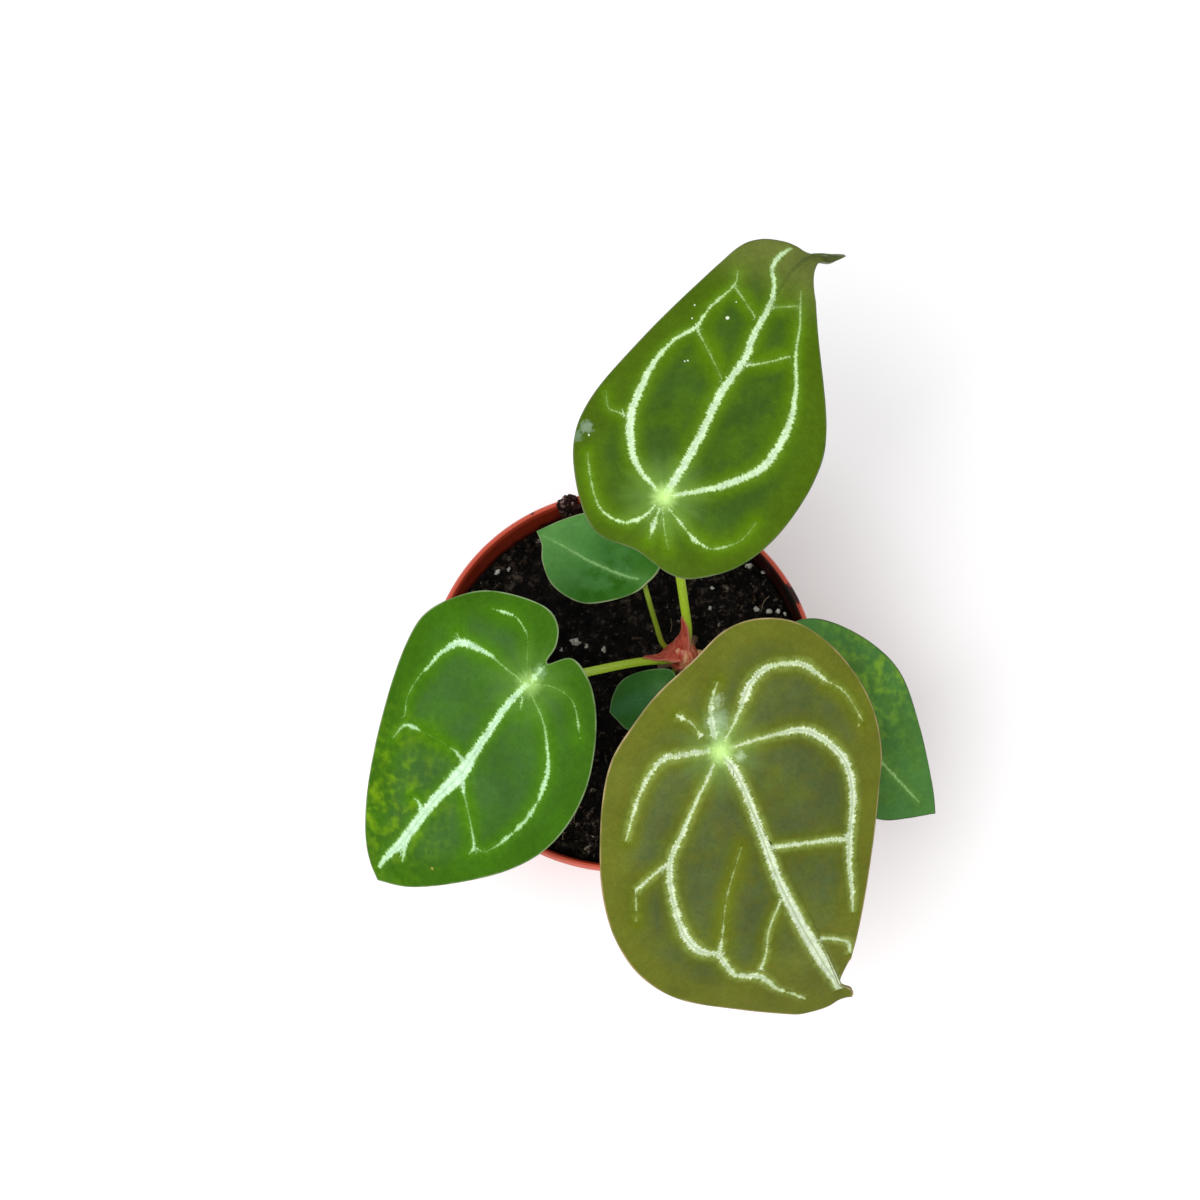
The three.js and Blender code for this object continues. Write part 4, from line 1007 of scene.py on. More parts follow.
def make_stalk(name, leaf):
    radius = leaf["stalk_radius"]

    def radius_at(along, angle):
        foot = 0.35 * np.exp(-along / 0.08)
        knee = 0.28 * np.exp(-((along - 0.97) / 0.035) ** 2)
        channel = 0.16 * np.exp(-((np.cos(angle) - 1) / 0.2) ** 2)
        return radius * (1 + foot + knee - channel)

    rod = tube(stalk_curve(leaf, 64), radius_at, 28, facing=(0, 0.3, 1), dome=0.05)
    piece = finish_mesh(rod, "stalk_" + name)
    wear(piece, STALK_THIN if name.startswith("small") else STALK_GREEN)
    return piece


for name, leaf in LEAVES.items():
    settle(make_stalk(name, leaf), "petiole", "petiole_" + name)

# %% [markdown]
# ## The crown and its two sheaths
# The crown is a short stem ringed by the scars of old leaves, with brace roots that dive into the
# soil. Two papery sheaths wrap it and run out in points along the stalks. They are dark red where
# they are fresh, with tan streaks where they dry.

# %% Crown
CROWN_PLACE = np.array([17, 7, 0.0])
CROWN_RADIUS = 4.1
CROWN_SIDES, CROWN_ROWS = 48, 69
SOIL_LEVEL = 80.6
BRACE_ROOTS = [(200, 9), (318, 8), (62, 8.5)]
CROWN_PROFILE = [
    (0.02, 64), (0.55, 64.6), (0.95, 70), (1.15, 76.6), (1.14, 81), (1.12, 82.4), (1.08, 84.4),
    (1.02, 86.2), (0.94, 87.8), (0.8, 89.4), (0.5, 91.2), (0.02, 92)]
STREAKS_FROM = (0.0172, 0.0096, 0.0)


def bark_material():
    """Old leaf bases: streaks that fan out from the back stalk, red-brown, tan and cream."""
    material, graph, shader = new_material("crown_bark", srgb(150, 72, 56))
    where = graph.here()
    flat = graph.add("VectorMath", {0: where, 1: (1.0, 1.0, 0.0)}, operation="MULTIPLY").outputs[0]
    away = graph.add("VectorMath", {0: flat, 1: STREAKS_FROM}, operation="SUBTRACT").outputs[0]
    way = graph.add("VectorMath", {0: away}, operation="NORMALIZE").outputs[0]
    turning = graph.add("VectorMath", {0: where, 1: (60.0, 60.0, 60.0), 2: way}, operation="MULTIPLY_ADD")
    streak = graph.add("TexNoise", {"Vector": turning.outputs[0], "Scale": 2.6, "Detail": 4.0,
                                    "Roughness": 0.6}).outputs[0]
    colour = graph.mix(graph.ramp(streak, 0.42, 0.54), srgb(166, 66, 50), srgb(194, 124, 90))
    colour = graph.mix(graph.ramp(streak, 0.54, 0.68), colour, srgb(214, 172, 128))
    colour = graph.mix(graph.ramp(streak, 0.38, 0.32), colour, srgb(120, 36, 20))
    height = height_mm(graph, where)
    low = graph.math("MULTIPLY_ADD", graph.noise(where, 2, 3), 2.0, height)
    colour = graph.mix(graph.ramp(low, 85.2, 87.0, 1, 0), colour, srgb(96, 74, 54))
    graph.feed(shader["Base Color"], colour)
    graph.feed(shader["Roughness"], graph.ramp(streak, 0.3, 0.7, 0.45, 0.65))
    graph.feed(shader["Normal"], graph.bump(graph.math("MULTIPLY", streak, 0.3)))
    return material


BARK = bark_material()


def root_radius(along, _):
    """A brace root tapers and is faintly ringed."""
    return 1.1 * (1.25 - 0.5 * along) * (1 + 0.06 * np.sin(along * 40))

def make_crown():
    rows = np.array(CROWN_PROFILE)
    curve = evenly(smooth_row(rows * [CROWN_RADIUS, 1], 6), CROWN_ROWS + 1)

    def place(across, down):
        angle = 2 * math.pi * across
        index = np.rint(down * CROWN_ROWS).astype(int)
        lumps = 1 + 0.04 * np.sin(3 * angle + 0.4 * curve[index, 1]) + 0.01 * np.sin(11 * angle)
        radius = np.maximum(curve[index, 0], 0) * lumps * 0.97
        points = np.stack([radius * np.cos(angle), radius * np.sin(angle), curve[index, 1]], -1)
        return (points + CROWN_PLACE) * MM

    bm = bent_grid(CROWN_SIDES, CROWN_ROWS, place)
    bmesh.ops.remove_doubles(bm, verts=bm.verts, dist=5e-5)
    for angle, reach in BRACE_ROOTS:
        out = np.array([math.cos(math.radians(angle)), math.sin(math.radians(angle)), 0])
        start = CROWN_PLACE + [0, 0, SOIL_LEVEL + 3.4]
        line = [start + out * 1.6, start + out * (CROWN_RADIUS + 0.8) - [0, 0, 0.2],
                start + out * reach * 0.82 - [0, 0, 2.6], start + out * reach - [0, 0, 9]]
        absorb(bm, tube(evenly(centripetal(line), 30), root_radius, 14))
    return finish_mesh(bm, "crown_stem")


crown = make_crown()
wear(crown, BARK)
settle(crown, "crown", "crown")

# %% [markdown]
# A sheath is a papery scale that once wrapped the young leaf. It could be cut from a cone, but here it
# is a strip wrapped round the foot of its stalk, wide at the crown and closing to a point, so that its
# streaks can run along it. A Solidify modifier gives it its thickness.

# %% Sheaths
# each follows the foot of its stalk up to a height, and turns to one side of it by degrees on the way
SHEATHS = {
    "cataphyll_back": dict(
        stalk="back", root=(17, 7, 84), top=108.5, facing=(-0.9, -0.5, 0.1), foot=4.6, tip=1.2,
        turn=12, wrap_foot=84, wrap_tip=44),
    "cataphyll_side": dict(
        stalk="left", root=(16.6, 6.8, 83.5), top=104, facing=(-0.3, 0.7, 0.8), foot=5.5, tip=1.1,
        turn=-30, wrap_foot=108, wrap_tip=38),
}
SHEATH_THICKNESS = 0.3
SHEATH_FADE = 3
SHEATH_ROWS, SHEATH_COLUMNS = 79, 40


def sheath_material():
    """Red at the middle, pink and thin towards the edges, with tan streaks and dark ones."""
    material, graph, shader = new_material("sheath_red", srgb(150, 66, 54))
    where = graph.here()
    across, along, _ = split(graph, attribute(graph, "flat"))
    lines = joined(graph, graph.math("MULTIPLY", across, 9.0), graph.math("MULTIPLY", along, 2.2))
    streak = graph.add("TexNoise", {"Vector": lines, "Scale": 1.0, "Detail": 4.0,
                                    "Roughness": 0.65}).outputs[0]
    patch = graph.noise(where, 3.5, 3, 0.6)
    colour = graph.mix(graph.ramp(patch, 0.38, 0.6), srgb(176, 58, 46), srgb(204, 98, 78))
    colour = graph.mix(graph.ramp(streak, 0.56, 0.66), colour, srgb(222, 176, 124))
    colour = graph.mix(graph.ramp(streak, 0.43, 0.35), colour, srgb(120, 38, 24))
    edge = graph.ramp(graph.math("ABSOLUTE", across), 0.66, 1.0)
    colour = graph.mix(graph.math("MULTIPLY", edge, 0.75), colour, srgb(228, 140, 124))
    dry = graph.ramp(graph.math("ADD", along, graph.math("MULTIPLY", patch, 0.2)), 0.96, 1.1)
    graph.feed(shader["Base Color"], graph.mix(dry, colour, srgb(176, 120, 78)))
    graph.feed(shader["Roughness"], graph.ramp(streak, 0.3, 0.7, 0.38, 0.6))
    graph.feed(shader["Normal"], graph.bump(graph.math("MULTIPLY", streak, 0.25)))
    return material


SHEATH_RED = sheath_material()


def make_sheath(name, shape):
    stalk = stalk_curve(LEAVES[shape["stalk"]], 200)
    spine = evenly(np.vstack([shape["root"], stalk[stalk[:, 2] < shape["top"]]]), SHEATH_ROWS + 1)
    _, out, beside = tube_frames(spine, shape["facing"])
    flat_of = {}

    def place(across, down):
        index = np.rint(down * SHEATH_ROWS).astype(int)
        share = index / SHEATH_ROWS
        radius = shape["foot"] + (shape["tip"] - shape["foot"]) * (1 - (1 - share) ** SHEATH_FADE)
        ragged = 1 + 0.08 * np.sin(share * 19 + across * 6) * (1 - share)
        wrap = (shape["wrap_foot"] + (shape["wrap_tip"] - shape["wrap_foot"]) * share ** 1.5) * ragged
        # the last fifth closes to a point
        wrap = wrap * np.clip((1 - share) / 0.2, 0.02, 1) ** 0.7
        side = 2 * across - 1
        angle = np.radians(wrap * side + shape["turn"] * share)
        ribs = 0.06 * np.cos(np.radians(wrap * side) * 16)
        flare = 0.5 * np.abs(side) ** 4 * (1 - share)
        lift = radius + SHEATH_THICKNESS / 2 + ribs + flare
        spoke = out[index] * np.cos(angle)[:, None] + beside[index] * np.sin(angle)[:, None]
        flat_of["flat"] = np.stack([side, share, 0 * share], -1)
        return (spine[index] + spoke * lift[:, None]) * MM

    bm = bent_grid(SHEATH_COLUMNS, SHEATH_ROWS, place)
    carry(bm, flat_of)
    piece = finish_mesh(bm, name + "_skin", recalculate=False)
    wear(piece, SHEATH_RED)
    skin = piece.modifiers.new("thickness", "SOLIDIFY")
    skin.thickness = SHEATH_THICKNESS * MM
    skin.offset = 0
    return piece


for name, shape in SHEATHS.items():
    settle(make_sheath(name, shape), "cataphyll", name)

# %% [markdown]
# ## The pot
# A thin moulded pot: one outline turned round the axis with the Spin operator, its rings of sharp
# edges rounded with a small Bevel, and six drain holes cut by a Boolean. Spinning keeps the wall even
# all round, which would be hard to hold if the rim and the foot were built as separate rings.

# %% Pot outline
POT_HEIGHT, RIM_RADIUS, RIM_WIDTH, RIM_CHAMFER = 92, 53, 1.9, 0.5
COLLAR_HEIGHT, COLLAR_STEP, BASE_RADIUS = 11, 1.8, 38
WALL, FOOT_RISE, PAD_RADIUS, RING_INNER = 1.5, 2, 11, 32
WALL_TOP = RIM_RADIUS - COLLAR_STEP - 1.6
COLLAR_FOOT = POT_HEIGHT - COLLAR_HEIGHT
DRAIN_HOLES, DRAIN_RADIUS, DRAIN_CIRCLE = 6, 4, 22


def inside_radius(height):
    return BASE_RADIUS + (WALL_TOP - BASE_RADIUS) * height / COLLAR_FOOT - WALL


RIM_INSIDE = RIM_RADIUS - RIM_WIDTH
RAISED = FOOT_RISE + WALL
POT_OUTLINE = [
    (0, 0), (PAD_RADIUS, 0), (PAD_RADIUS + 1.5, FOOT_RISE), (RING_INNER, FOOT_RISE),
    (RING_INNER + 1.2, 0), (BASE_RADIUS - 0.8, 0), (BASE_RADIUS + 0.2, 1.2), (WALL_TOP, COLLAR_FOOT),
    (WALL_TOP + COLLAR_STEP, COLLAR_FOOT + 0.8), (RIM_RADIUS, POT_HEIGHT - 0.8),
    (RIM_RADIUS - 0.5, POT_HEIGHT), (RIM_INSIDE + RIM_CHAMFER, POT_HEIGHT),
    (RIM_INSIDE - 0.2, POT_HEIGHT - 1), (RIM_INSIDE - 0.9, COLLAR_FOOT + 1),
    (inside_radius(COLLAR_FOOT - 1.5), COLLAR_FOOT - 1.5),
    (inside_radius(RAISED + 1.6), RAISED + 1.6), (inside_radius(RAISED) - 1.6, RAISED),
    (PAD_RADIUS + 2.1, RAISED), (PAD_RADIUS + 0.6, WALL), (0, WALL)]
print("pot:", 2 * RIM_RADIUS, "mm wide,", POT_HEIGHT, "mm high")


def spun(outline, steps):
    """An outline of radius and height in millimetres, turned round the axis."""
    bm = bmesh.new()
    row = [bm.verts.new((radius * MM, 0, height * MM)) for radius, height in outline]
    edges = [bm.edges.new(pair) for pair in zip(row, row[1:])]
    bmesh.ops.spin(bm, geom=row + edges, cent=(0, 0, 0), axis=(0, 0, 1), angle=2 * math.pi,
                   steps=steps, use_merge=True, use_duplicate=False)
    bmesh.ops.remove_doubles(bm, verts=bm.verts, dist=1e-6)
    bmesh.ops.recalc_face_normals(bm, faces=bm.faces)
    return bm


# %% [markdown]
# The plastic is a dull orange pink with a fine moulded texture, scuffs and a little dust near its
# foot. The top of the rim has a painted highlight. Inside it is dark with painted shade, darkest next to
# the soil, where soil stain and painted shade lie together. One shell has one material, so where the
# inside begins is worked out from the pot's own outline, and no seam shows at the rim. Soil is smeared over
# the rim in places.

# %% Pot finish
RIM_HIGHLIGHT, POT_COLOUR, INSIDE_SHADE = srgb(206, 110, 96), srgb(180, 70, 50), srgb(118, 32, 10)
# soil dirt on the pot, also used for painted shade next to the soil
DIRT_AND_SHADE = srgb(12, 6, 4)
# where soil is smeared over the rim, how far it reaches and how ragged it is, in millimetres
RIM_SMEARS = [((0.0459, 0.0223, 0.092), 3.4, 3.2), ((-0.0249, 0.0462, 0.092), 0.7, 0.8)]


def wall_middle(graph, height):
    """The radius halfway through the pot's wall at a height, in millimetres."""
    slope = (WALL_TOP - BASE_RADIUS) / COLLAR_FOOT
    wall = graph.math("MULTIPLY_ADD", height, slope, BASE_RADIUS - WALL / 2)
    collar = graph.math("MULTIPLY_ADD", height, 0.04, RIM_INSIDE - 0.04 * COLLAR_FOOT)
    above = graph.ramp(height, COLLAR_FOOT - 0.4, COLLAR_FOOT + 1.6, 0, 1, False)
    return graph.math("MULTIPLY_ADD", graph.math("SUBTRACT", collar, wall), above, wall)


def inside_shade_and_stain(graph, where, height, radius, colour):
    """The inside is darkened with painted shade, and darkest next to the soil, with soil stain and painted
    shade.
    """
    past_middle = graph.math("SUBTRACT", radius, wall_middle(graph, height))
    inside = graph.math("MULTIPLY", graph.ramp(past_middle, 0.15, -0.15, 0, 1), graph.ramp(height, 2.5, 3.2))
    # painted shade inside the pot
    colour = graph.mix(graph.math("MULTIPLY", inside, 0.94), colour, INSIDE_SHADE)
    # darker towards the soil: soil stain and painted shade
    stain_and_shade = graph.math("MULTIPLY_ADD", graph.noise(where, 2.6, 5, 0.65), 9.0, height)
    stain_and_shade = graph.math("SUBTRACT", stain_and_shade, graph.math("MULTIPLY", split(graph, where)[0], 150.0))
    low = graph.math("MULTIPLY", graph.ramp(stain_and_shade, 95.0, 90.0), inside)
    return graph.mix(graph.math("MULTIPLY", low, 0.93), colour, DIRT_AND_SHADE)

def smeared(graph, where, colour):
    """Specks of soil all over, and smears on the rim."""
    colour = graph.mix(graph.ramp(graph.noise(where, 0.9, 2), 0.72, 0.77, 0, 0.6), colour, DIRT_AND_SHADE)
    for place, reach, rag in RIM_SMEARS:
        away = graph.add("VectorMath", {0: where, 1: place}, operation="DISTANCE").outputs["Value"]
        ragged = graph.math("MULTIPLY_ADD", graph.noise(where, 0.8, 4, 0.6), 2 * rag, -rag)
        edge = graph.math("SUBTRACT", graph.math("ADD", reach, ragged), graph.math("MULTIPLY", away, 1 / MM))
        colour = graph.mix(graph.ramp(edge, -0.2, 0.5, 0, 0.95), colour, DIRT_AND_SHADE)
    return colour

def pot_material():
    material, graph, shader = new_material("pot_plastic", srgb(198, 90, 72))
    where = graph.here()
    height = height_mm(graph, where)
    flat = graph.add("VectorMath", {0: where, 1: (1000.0, 1000.0, 0.0)}, operation="MULTIPLY").outputs[0]
    radius = graph.add("VectorMath", {0: flat}, operation="LENGTH").outputs["Value"]
    colour = uneven(graph, POT_COLOUR, where, 22, 0.92, 1.07)
    # a painted highlight on the top of the rim, where the light falls
    top = graph.ramp(height, POT_HEIGHT - 1.2, POT_HEIGHT - 0.3)
    outer = graph.ramp(radius, RIM_RADIUS - 1.0, RIM_RADIUS - 0.3)
    colour = graph.mix(graph.math("MULTIPLY", graph.math("MULTIPLY", top, outer), 0.85), colour, RIM_HIGHLIGHT)
    # scuffs outside, and dust that settles towards the foot
    stretched = graph.add("Mapping", {"Vector": where, "Scale": (1.0, 1.0, 0.25)}).outputs[0]
    scuff = graph.ramp(graph.noise(stretched, 1.4, 5, 0.7), 0.6, 0.7, 0, 0.25)
    colour = graph.mix(scuff, colour, srgb(220, 146, 126))
    dust = graph.math("MULTIPLY", graph.ramp(height, 2, 26, 0.4, 0),
                      graph.ramp(graph.noise(where, 5, 4), 0.35, 0.65))
    colour = graph.mix(dust, colour, srgb(120, 84, 64))
    colour = inside_shade_and_stain(graph, where, height, radius, colour)
    graph.feed(shader["Base Color"], smeared(graph, where, colour))
    graph.feed(shader["Roughness"], graph.ramp(graph.noise(stretched, 3, 4), 0.3, 0.7, 0.38, 0.56))
    mould = graph.math("MULTIPLY_ADD", graph.noise(where, 0.3, 2), 0.04, graph.math("MULTIPLY", scuff, 0.05))
    graph.feed(shader["Normal"], graph.bump(mould))
    shader["Specular IOR Level"].default_value = 0.25
    return material


# %% [markdown]
# The outline is spun, its sharp rings are bevelled and the drain holes are punched. The Boolean is
# applied at once, so that the finished mesh needs no helper object.

# %% Pot
POT_STEPS = 144


def make_pot():
    bm = spun(POT_OUTLINE, POT_STEPS)
    sharp = [edge for edge in bm.edges
             if len(edge.link_faces) == 2 and edge.calc_face_angle() > math.radians(20)]
    bmesh.ops.bevel(bm, geom=sharp, offset=0.22 * MM, offset_type="OFFSET", affect="EDGES", segments=3,
                    profile=0.5, material=-1, clamp_overlap=True)
    pot = finish_mesh(bm, "pot_shell")
    cutter = bmesh.new()
    for i in range(DRAIN_HOLES):
        turn = Matrix.Rotation(2 * math.pi * i / DRAIN_HOLES, 4, "Z")
        spot = turn @ Matrix.Translation((DRAIN_CIRCLE * MM, 0, FOOT_RISE * MM))
        bmesh.ops.create_cone(cutter, cap_ends=True, segments=32, radius1=DRAIN_RADIUS * MM,
                              radius2=DRAIN_RADIUS * MM, depth=0.012, matrix=spot)
    punch = finish_mesh(cutter, "punch")
    cut = pot.modifiers.new("drain", "BOOLEAN")
    cut.object = punch
    cut.solver = "EXACT"
    bpy.context.view_layer.update()
    finished = bpy.data.meshes.new_from_object(pot.evaluated_get(bpy.context.evaluated_depsgraph_get()))
    pot.modifiers.clear()
    pot.data = finished
    bpy.data.objects.remove(punch)
    return pot


pot = make_pot()
pot.data.materials.clear()
wear(pot, pot_material())
for polygon in pot.data.polygons:
    polygon.use_smooth = True
pot.data.set_sharp_from_angle(angle=math.radians(30))
settle(pot, "pot", "pot")

# %% [markdown]
# ## The potting mix
# The bed fills the pot down to its floor, because it shows in the drain holes. Its top follows the
# lumps of the solid soil, with a finer crumb raised on it. Loose crumbs, bark and white perlite lie on
# top: the large grains at the places of the solid ones, by the same seeded draw, and smaller ones
# between them. Each kind is one template, repeated many times with few faces.

# %% Soil surface
SOIL_RISE_RIGHT = 1.0
SOIL_BANK, BANK_FOOT_RADIUS = 4.8, 34
BANK_DIP_ANGLE, BANK_DIP_WIDTH, BANK_DIP_SHARE = 124, 18, 0.35
BED_GAP = 0.35
CROWN_MOUND, MOUND_RADIUS = 1.3, 11


def soil_bank(x, y):
    """Soil is banked up against the wall, less so where the wall shows."""
    rise = np.clip((np.hypot(x, y) - BANK_FOOT_RADIUS) / (RIM_INSIDE - BANK_FOOT_RADIUS), 0, 1)
    turn = (np.degrees(np.arctan2(y, x)) - BANK_DIP_ANGLE) / BANK_DIP_WIDTH
    return SOIL_BANK * rise * rise * (3 - 2 * rise) * (1 - BANK_DIP_SHARE * np.exp(-turn ** 2))


def soil_height(x, y):
    slope = SOIL_RISE_RIGHT * x / RIM_RADIUS - 0.5 * y / RIM_RADIUS
    from_crown = np.hypot(x - CROWN_PLACE[0], y - CROWN_PLACE[1])
    mound = CROWN_MOUND * np.exp(-(from_crown / MOUND_RADIUS) ** 2)
    lumps = (0.8 * np.sin(x * 0.31 + 1.3) * np.cos(y * 0.27 - 0.4)
             + 0.5 * np.sin(x * 0.71 + y * 0.53) + 0.35 * np.sin(y * 1.13 - x * 0.47 + 2))
    return SOIL_LEVEL + slope + mound + lumps + soil_bank(x, y)


def crumble(x, y):
    """A small rise or dip of the crumbly surface, in millimetres."""
    point = Vector((x, y, 0))
    return 0.9 * noise.noise(point * 0.35) + 0.8 * noise.noise(point * 0.9) + 0.5 * noise.noise(point * 2.1)


def surface_at(x, y):
    return float(soil_height(x, y)) + crumble(x, y)


# %% [markdown]
# Mix, bark, perlite and dry roots differ in colour and in the size of their grain, so one function
# makes all their finishes: darkest between the crumbs, where the shade is painted, lighter on them, with a
# wet gleam here and there.

# %% Soil finish
def soil_material(name, hollow_shade, dark, light, gloss, size):
    """Almost black between the crumbs, a painted shade in the hollows of its bump, with brown and grey ones,
    and a wet gleam here and there.
    """
    material, graph, shader = new_material(name, srgb(*dark))
    where = graph.here()
    grain = graph.noise(where, size, 5, 0.7)
    fleck = graph.noise(where, size * 0.55, 2, 0.5)
    # painted shade in the hollows of the bump
    colour = graph.mix(graph.ramp(grain, 0.4, 0.56), srgb(*hollow_shade), srgb(*dark))
    colour = graph.mix(graph.ramp(grain, 0.55, 0.7), colour, srgb(*light))
    colour = graph.mix(graph.ramp(fleck, 0.62, 0.72, 0, 0.8), colour, srgb(*light))
    graph.feed(shader["Base Color"], colour)
    graph.feed(shader["Roughness"], graph.ramp(graph.noise(where, size * 1.7, 3), 0.4, 0.65, 0.9, gloss))
    fine = graph.noise(where, 0.45, 4, 0.7)
    height = graph.math("MULTIPLY_ADD", fine, 0.5, graph.math("MULTIPLY", grain, 0.9))
    graph.feed(shader["Normal"], graph.bump(height))
    shader["Specular IOR Level"].default_value = 0.08
    return material


SOIL_DARK = soil_material("soil_dark", (1, 1, 1), (15, 10, 8), (66, 57, 49), 0.35, 2.4)
CRUMB_DARK = soil_material("crumb_dark", (3, 2, 2), (36, 28, 22), (134, 124, 114), 0.35, 2.2)
BARK_BROWN = soil_material("bark_brown", (5, 2, 1), (34, 22, 15), (112, 88, 68), 0.4, 1.4)
PERLITE = soil_material("perlite_white", (150, 148, 140), (206, 204, 196), (240, 238, 230), 0.7, 0.8)
FIBRE = soil_material("root_fibre", (84, 72, 56), (128, 114, 92), (160, 146, 122), 0.6, 0.5)

# %% [markdown]
# The bed is a grid too. Its columns go round the pot, and its rows run out from the middle, down the
# wall and back in under the bed, so that it is one closed body and shows through the drain holes.

# %% Soil bed
BED_COLUMNS, BED_ROWS = 300, 120
BED_RADIUS = RIM_INSIDE - 0.9 - BED_GAP
LEDGE = COLLAR_FOOT + 1 + BED_GAP / 2
BED_EDGE = [(0, SOIL_LEVEL), (BED_RADIUS, SOIL_LEVEL), (BED_RADIUS, LEDGE),
            (inside_radius(COLLAR_FOOT - 1.5) - BED_GAP, COLLAR_FOOT - 1.5 + BED_GAP / 2),
            (inside_radius(RAISED + 1.6) - BED_GAP, RAISED + 1.6 + BED_GAP),
            (inside_radius(RAISED) - 1.6 - BED_GAP, RAISED + BED_GAP), (0, RAISED + BED_GAP)]
BED_STOPS = [0, 0.8, 0.82, 0.84, 0.9, 0.92, 1]


def make_bed():
    stops = np.array(BED_EDGE)

    def place(across, down):
        radius = np.interp(down, BED_STOPS, stops[:, 0])
        z = np.interp(down, BED_STOPS, stops[:, 1])
        x, y = radius * np.cos(2 * math.pi * across), radius * np.sin(2 * math.pi * across)
        rough = np.array([crumble(a, b) for a, b in zip(x, y)])
        surface = np.maximum(soil_height(x, y) + rough, LEDGE + 0.6)
        # the wall of the bed runs from its surface down to the pot's ledge
        down_wall = np.clip((down - BED_STOPS[1]) / (BED_STOPS[2] - BED_STOPS[1]), 0, 1)
        z = np.where(down < BED_STOPS[2] + 1e-6, surface + (LEDGE - surface) * down_wall, z)
        return np.stack([x, y, z], -1) * MM

    bm = bent_grid(BED_COLUMNS, BED_ROWS, place)
    return finish_mesh(bm, "soil_bed")


bed = make_bed()
wear(bed, SOIL_DARK)
settle(bed, "potting_mix", "soil")


# %% [markdown]
# Templates of a few dozen faces: an icosphere pushed about by noise, so that no two variants are
# alike. Each repeat is a copy of a template, turned, scaled and added to the mesh of its kind.

# %% Repeated grains
def template(seed, subdivisions, rough, stretch):
    bm = bmesh.new()
    bmesh.ops.create_icosphere(bm, subdivisions=subdivisions, radius=1)
    for vertex in bm.verts:
        push = noise.noise(vertex.co * 1.3 + Vector((seed * 7.1, 0, 0)))
        push += 0.5 * noise.noise(vertex.co * 3.1 + Vector((0, seed * 3.7, 0)))
        vertex.co *= 1 + rough * push
        vertex.co = Vector(a * b for a, b in zip(vertex.co, stretch))
    return new_mesh(bm, "template")


def repeat(name, shapes, matrices, smooth):
    """One piece with a copy of a template at each matrix, in millimetres."""
    bm = bmesh.new()
    for i, matrix in enumerate(matrices):
        stamp = shapes[i % len(shapes)].copy()
        stamp.transform(Matrix.Scale(MM, 4) @ matrix)
        bm.from_mesh(stamp)
        bpy.data.meshes.remove(stamp)
    mesh = bpy.data.meshes.new(name)
    bm.to_mesh(mesh)
    bm.free()
    mesh.polygons.foreach_set("use_smooth", [smooth] * len(mesh.polygons))
    piece = bpy.data.objects.new(name, mesh)
    bpy.context.scene.collection.objects.link(piece)
    return piece


def lying(x, y, z, size, draw, squash=0.75):
    """A matrix that lays a grain down at a place, turned at random."""
    spin = Euler([draw() * 2 * math.pi for _ in range(3)]).to_matrix().to_4x4()
    shape = Matrix.Diagonal((size, size * (squash + (1 - squash) * draw()), size * (0.6 + 0.4 * draw()), 1))
    return Matrix.Translation((x, y, z)) @ spin @ shape


# %% [markdown]
# The large grains lie where the solid soil has them: by the same seeded draw and, behind the crown, at
# the places of a short list. The others are scattered by a draw of their own and keep off the crown.
# Crumbs and bark keep off the listed grains too.

# %% Places of the grains
GRAIN_SEED, GRAIN_REACH = 41, 46
BARK_CRUMBS, PERLITE_GRAINS = 18, 58
BARK_LIFT, PERLITE_LIFT = 0.1, 0.35
OPEN_LIFT, SCATTER_BACK_EDGE = 1.0, 6
BED_EDGE_RADIUS = 49.2
# perlite that lies in the open behind the crown: place and size
OPEN_PERLITE = [
    (-34.7, 31.6, 1.2), (-31.6, 32.3, 0.8), (-23.5, 30.8, 1.0), (-25.4, 27.5, 1.0), (-17, 23.1, 0.7),
    (-20.4, 22.6, 0.8), (-17.3, 18.2, 0.8), (-12.8, 11.5, 1.4), (-9.7, 10.5, 1.1), (-16.7, 9.4, 1.2),
    (-0.3, 10, 0.9), (-5, 9.3, 0.9), (10.4, 26, 0.8), (24.5, 21.2, 0.7), (29.8, 20.9, 0.7),
    (25.2, 26.8, 0.7), (35.4, 32.5, 1.2), (39.1, 30.5, 0.7), (37.2, 20.6, 1.0), (40.6, 19.5, 0.9),
    (43.1, 19.4, 0.8), (44.9, 18.5, 0.7)]


def solid_grains():
    """The grains of the solid soil again: their places and sizes, bark first and perlite next."""
    draw = seeded(GRAIN_SEED)
    kinds = []
    for count, smallest, largest, lift, back_edge in (
            (BARK_CRUMBS, 1.8, 3.2, BARK_LIFT, GRAIN_REACH),
            (PERLITE_GRAINS, 0.9, 1.6, PERLITE_LIFT, SCATTER_BACK_EDGE)):
        grains = []
        for _ in range(count):
            angle = 2 * math.pi * draw()
            distance = GRAIN_REACH * math.sqrt(draw())
            size = smallest + (largest - smallest) * draw()
            x, y = distance * math.cos(angle), distance * math.sin(angle)
            [draw() for _ in range(4)]
            if y < back_edge:
                grains.append((x, y, surface_at(x, y) + lift * size, size))
        kinds.append(grains)
    for x, y, size in OPEN_PERLITE:
        kinds[1].append((x, y, surface_at(x, y) + OPEN_LIFT + PERLITE_LIFT * size, size))
    return kinds


def scattered(count, smallest, largest, draw, sink):
    places = []
    while len(places) < count:
        angle, distance = 2 * math.pi * draw(), BED_EDGE_RADIUS * math.sqrt(draw())
        size = smallest + (largest - smallest) * draw() ** 2
        distance = min(distance, BED_EDGE_RADIUS + 0.2 - size)
        x, y = distance * math.cos(angle), distance * math.sin(angle)
        if math.hypot(x - CROWN_PLACE[0], y - CROWN_PLACE[1]) > 6 + size:
            places.append((x, y, surface_at(x, y) + sink * size, size))
    return places


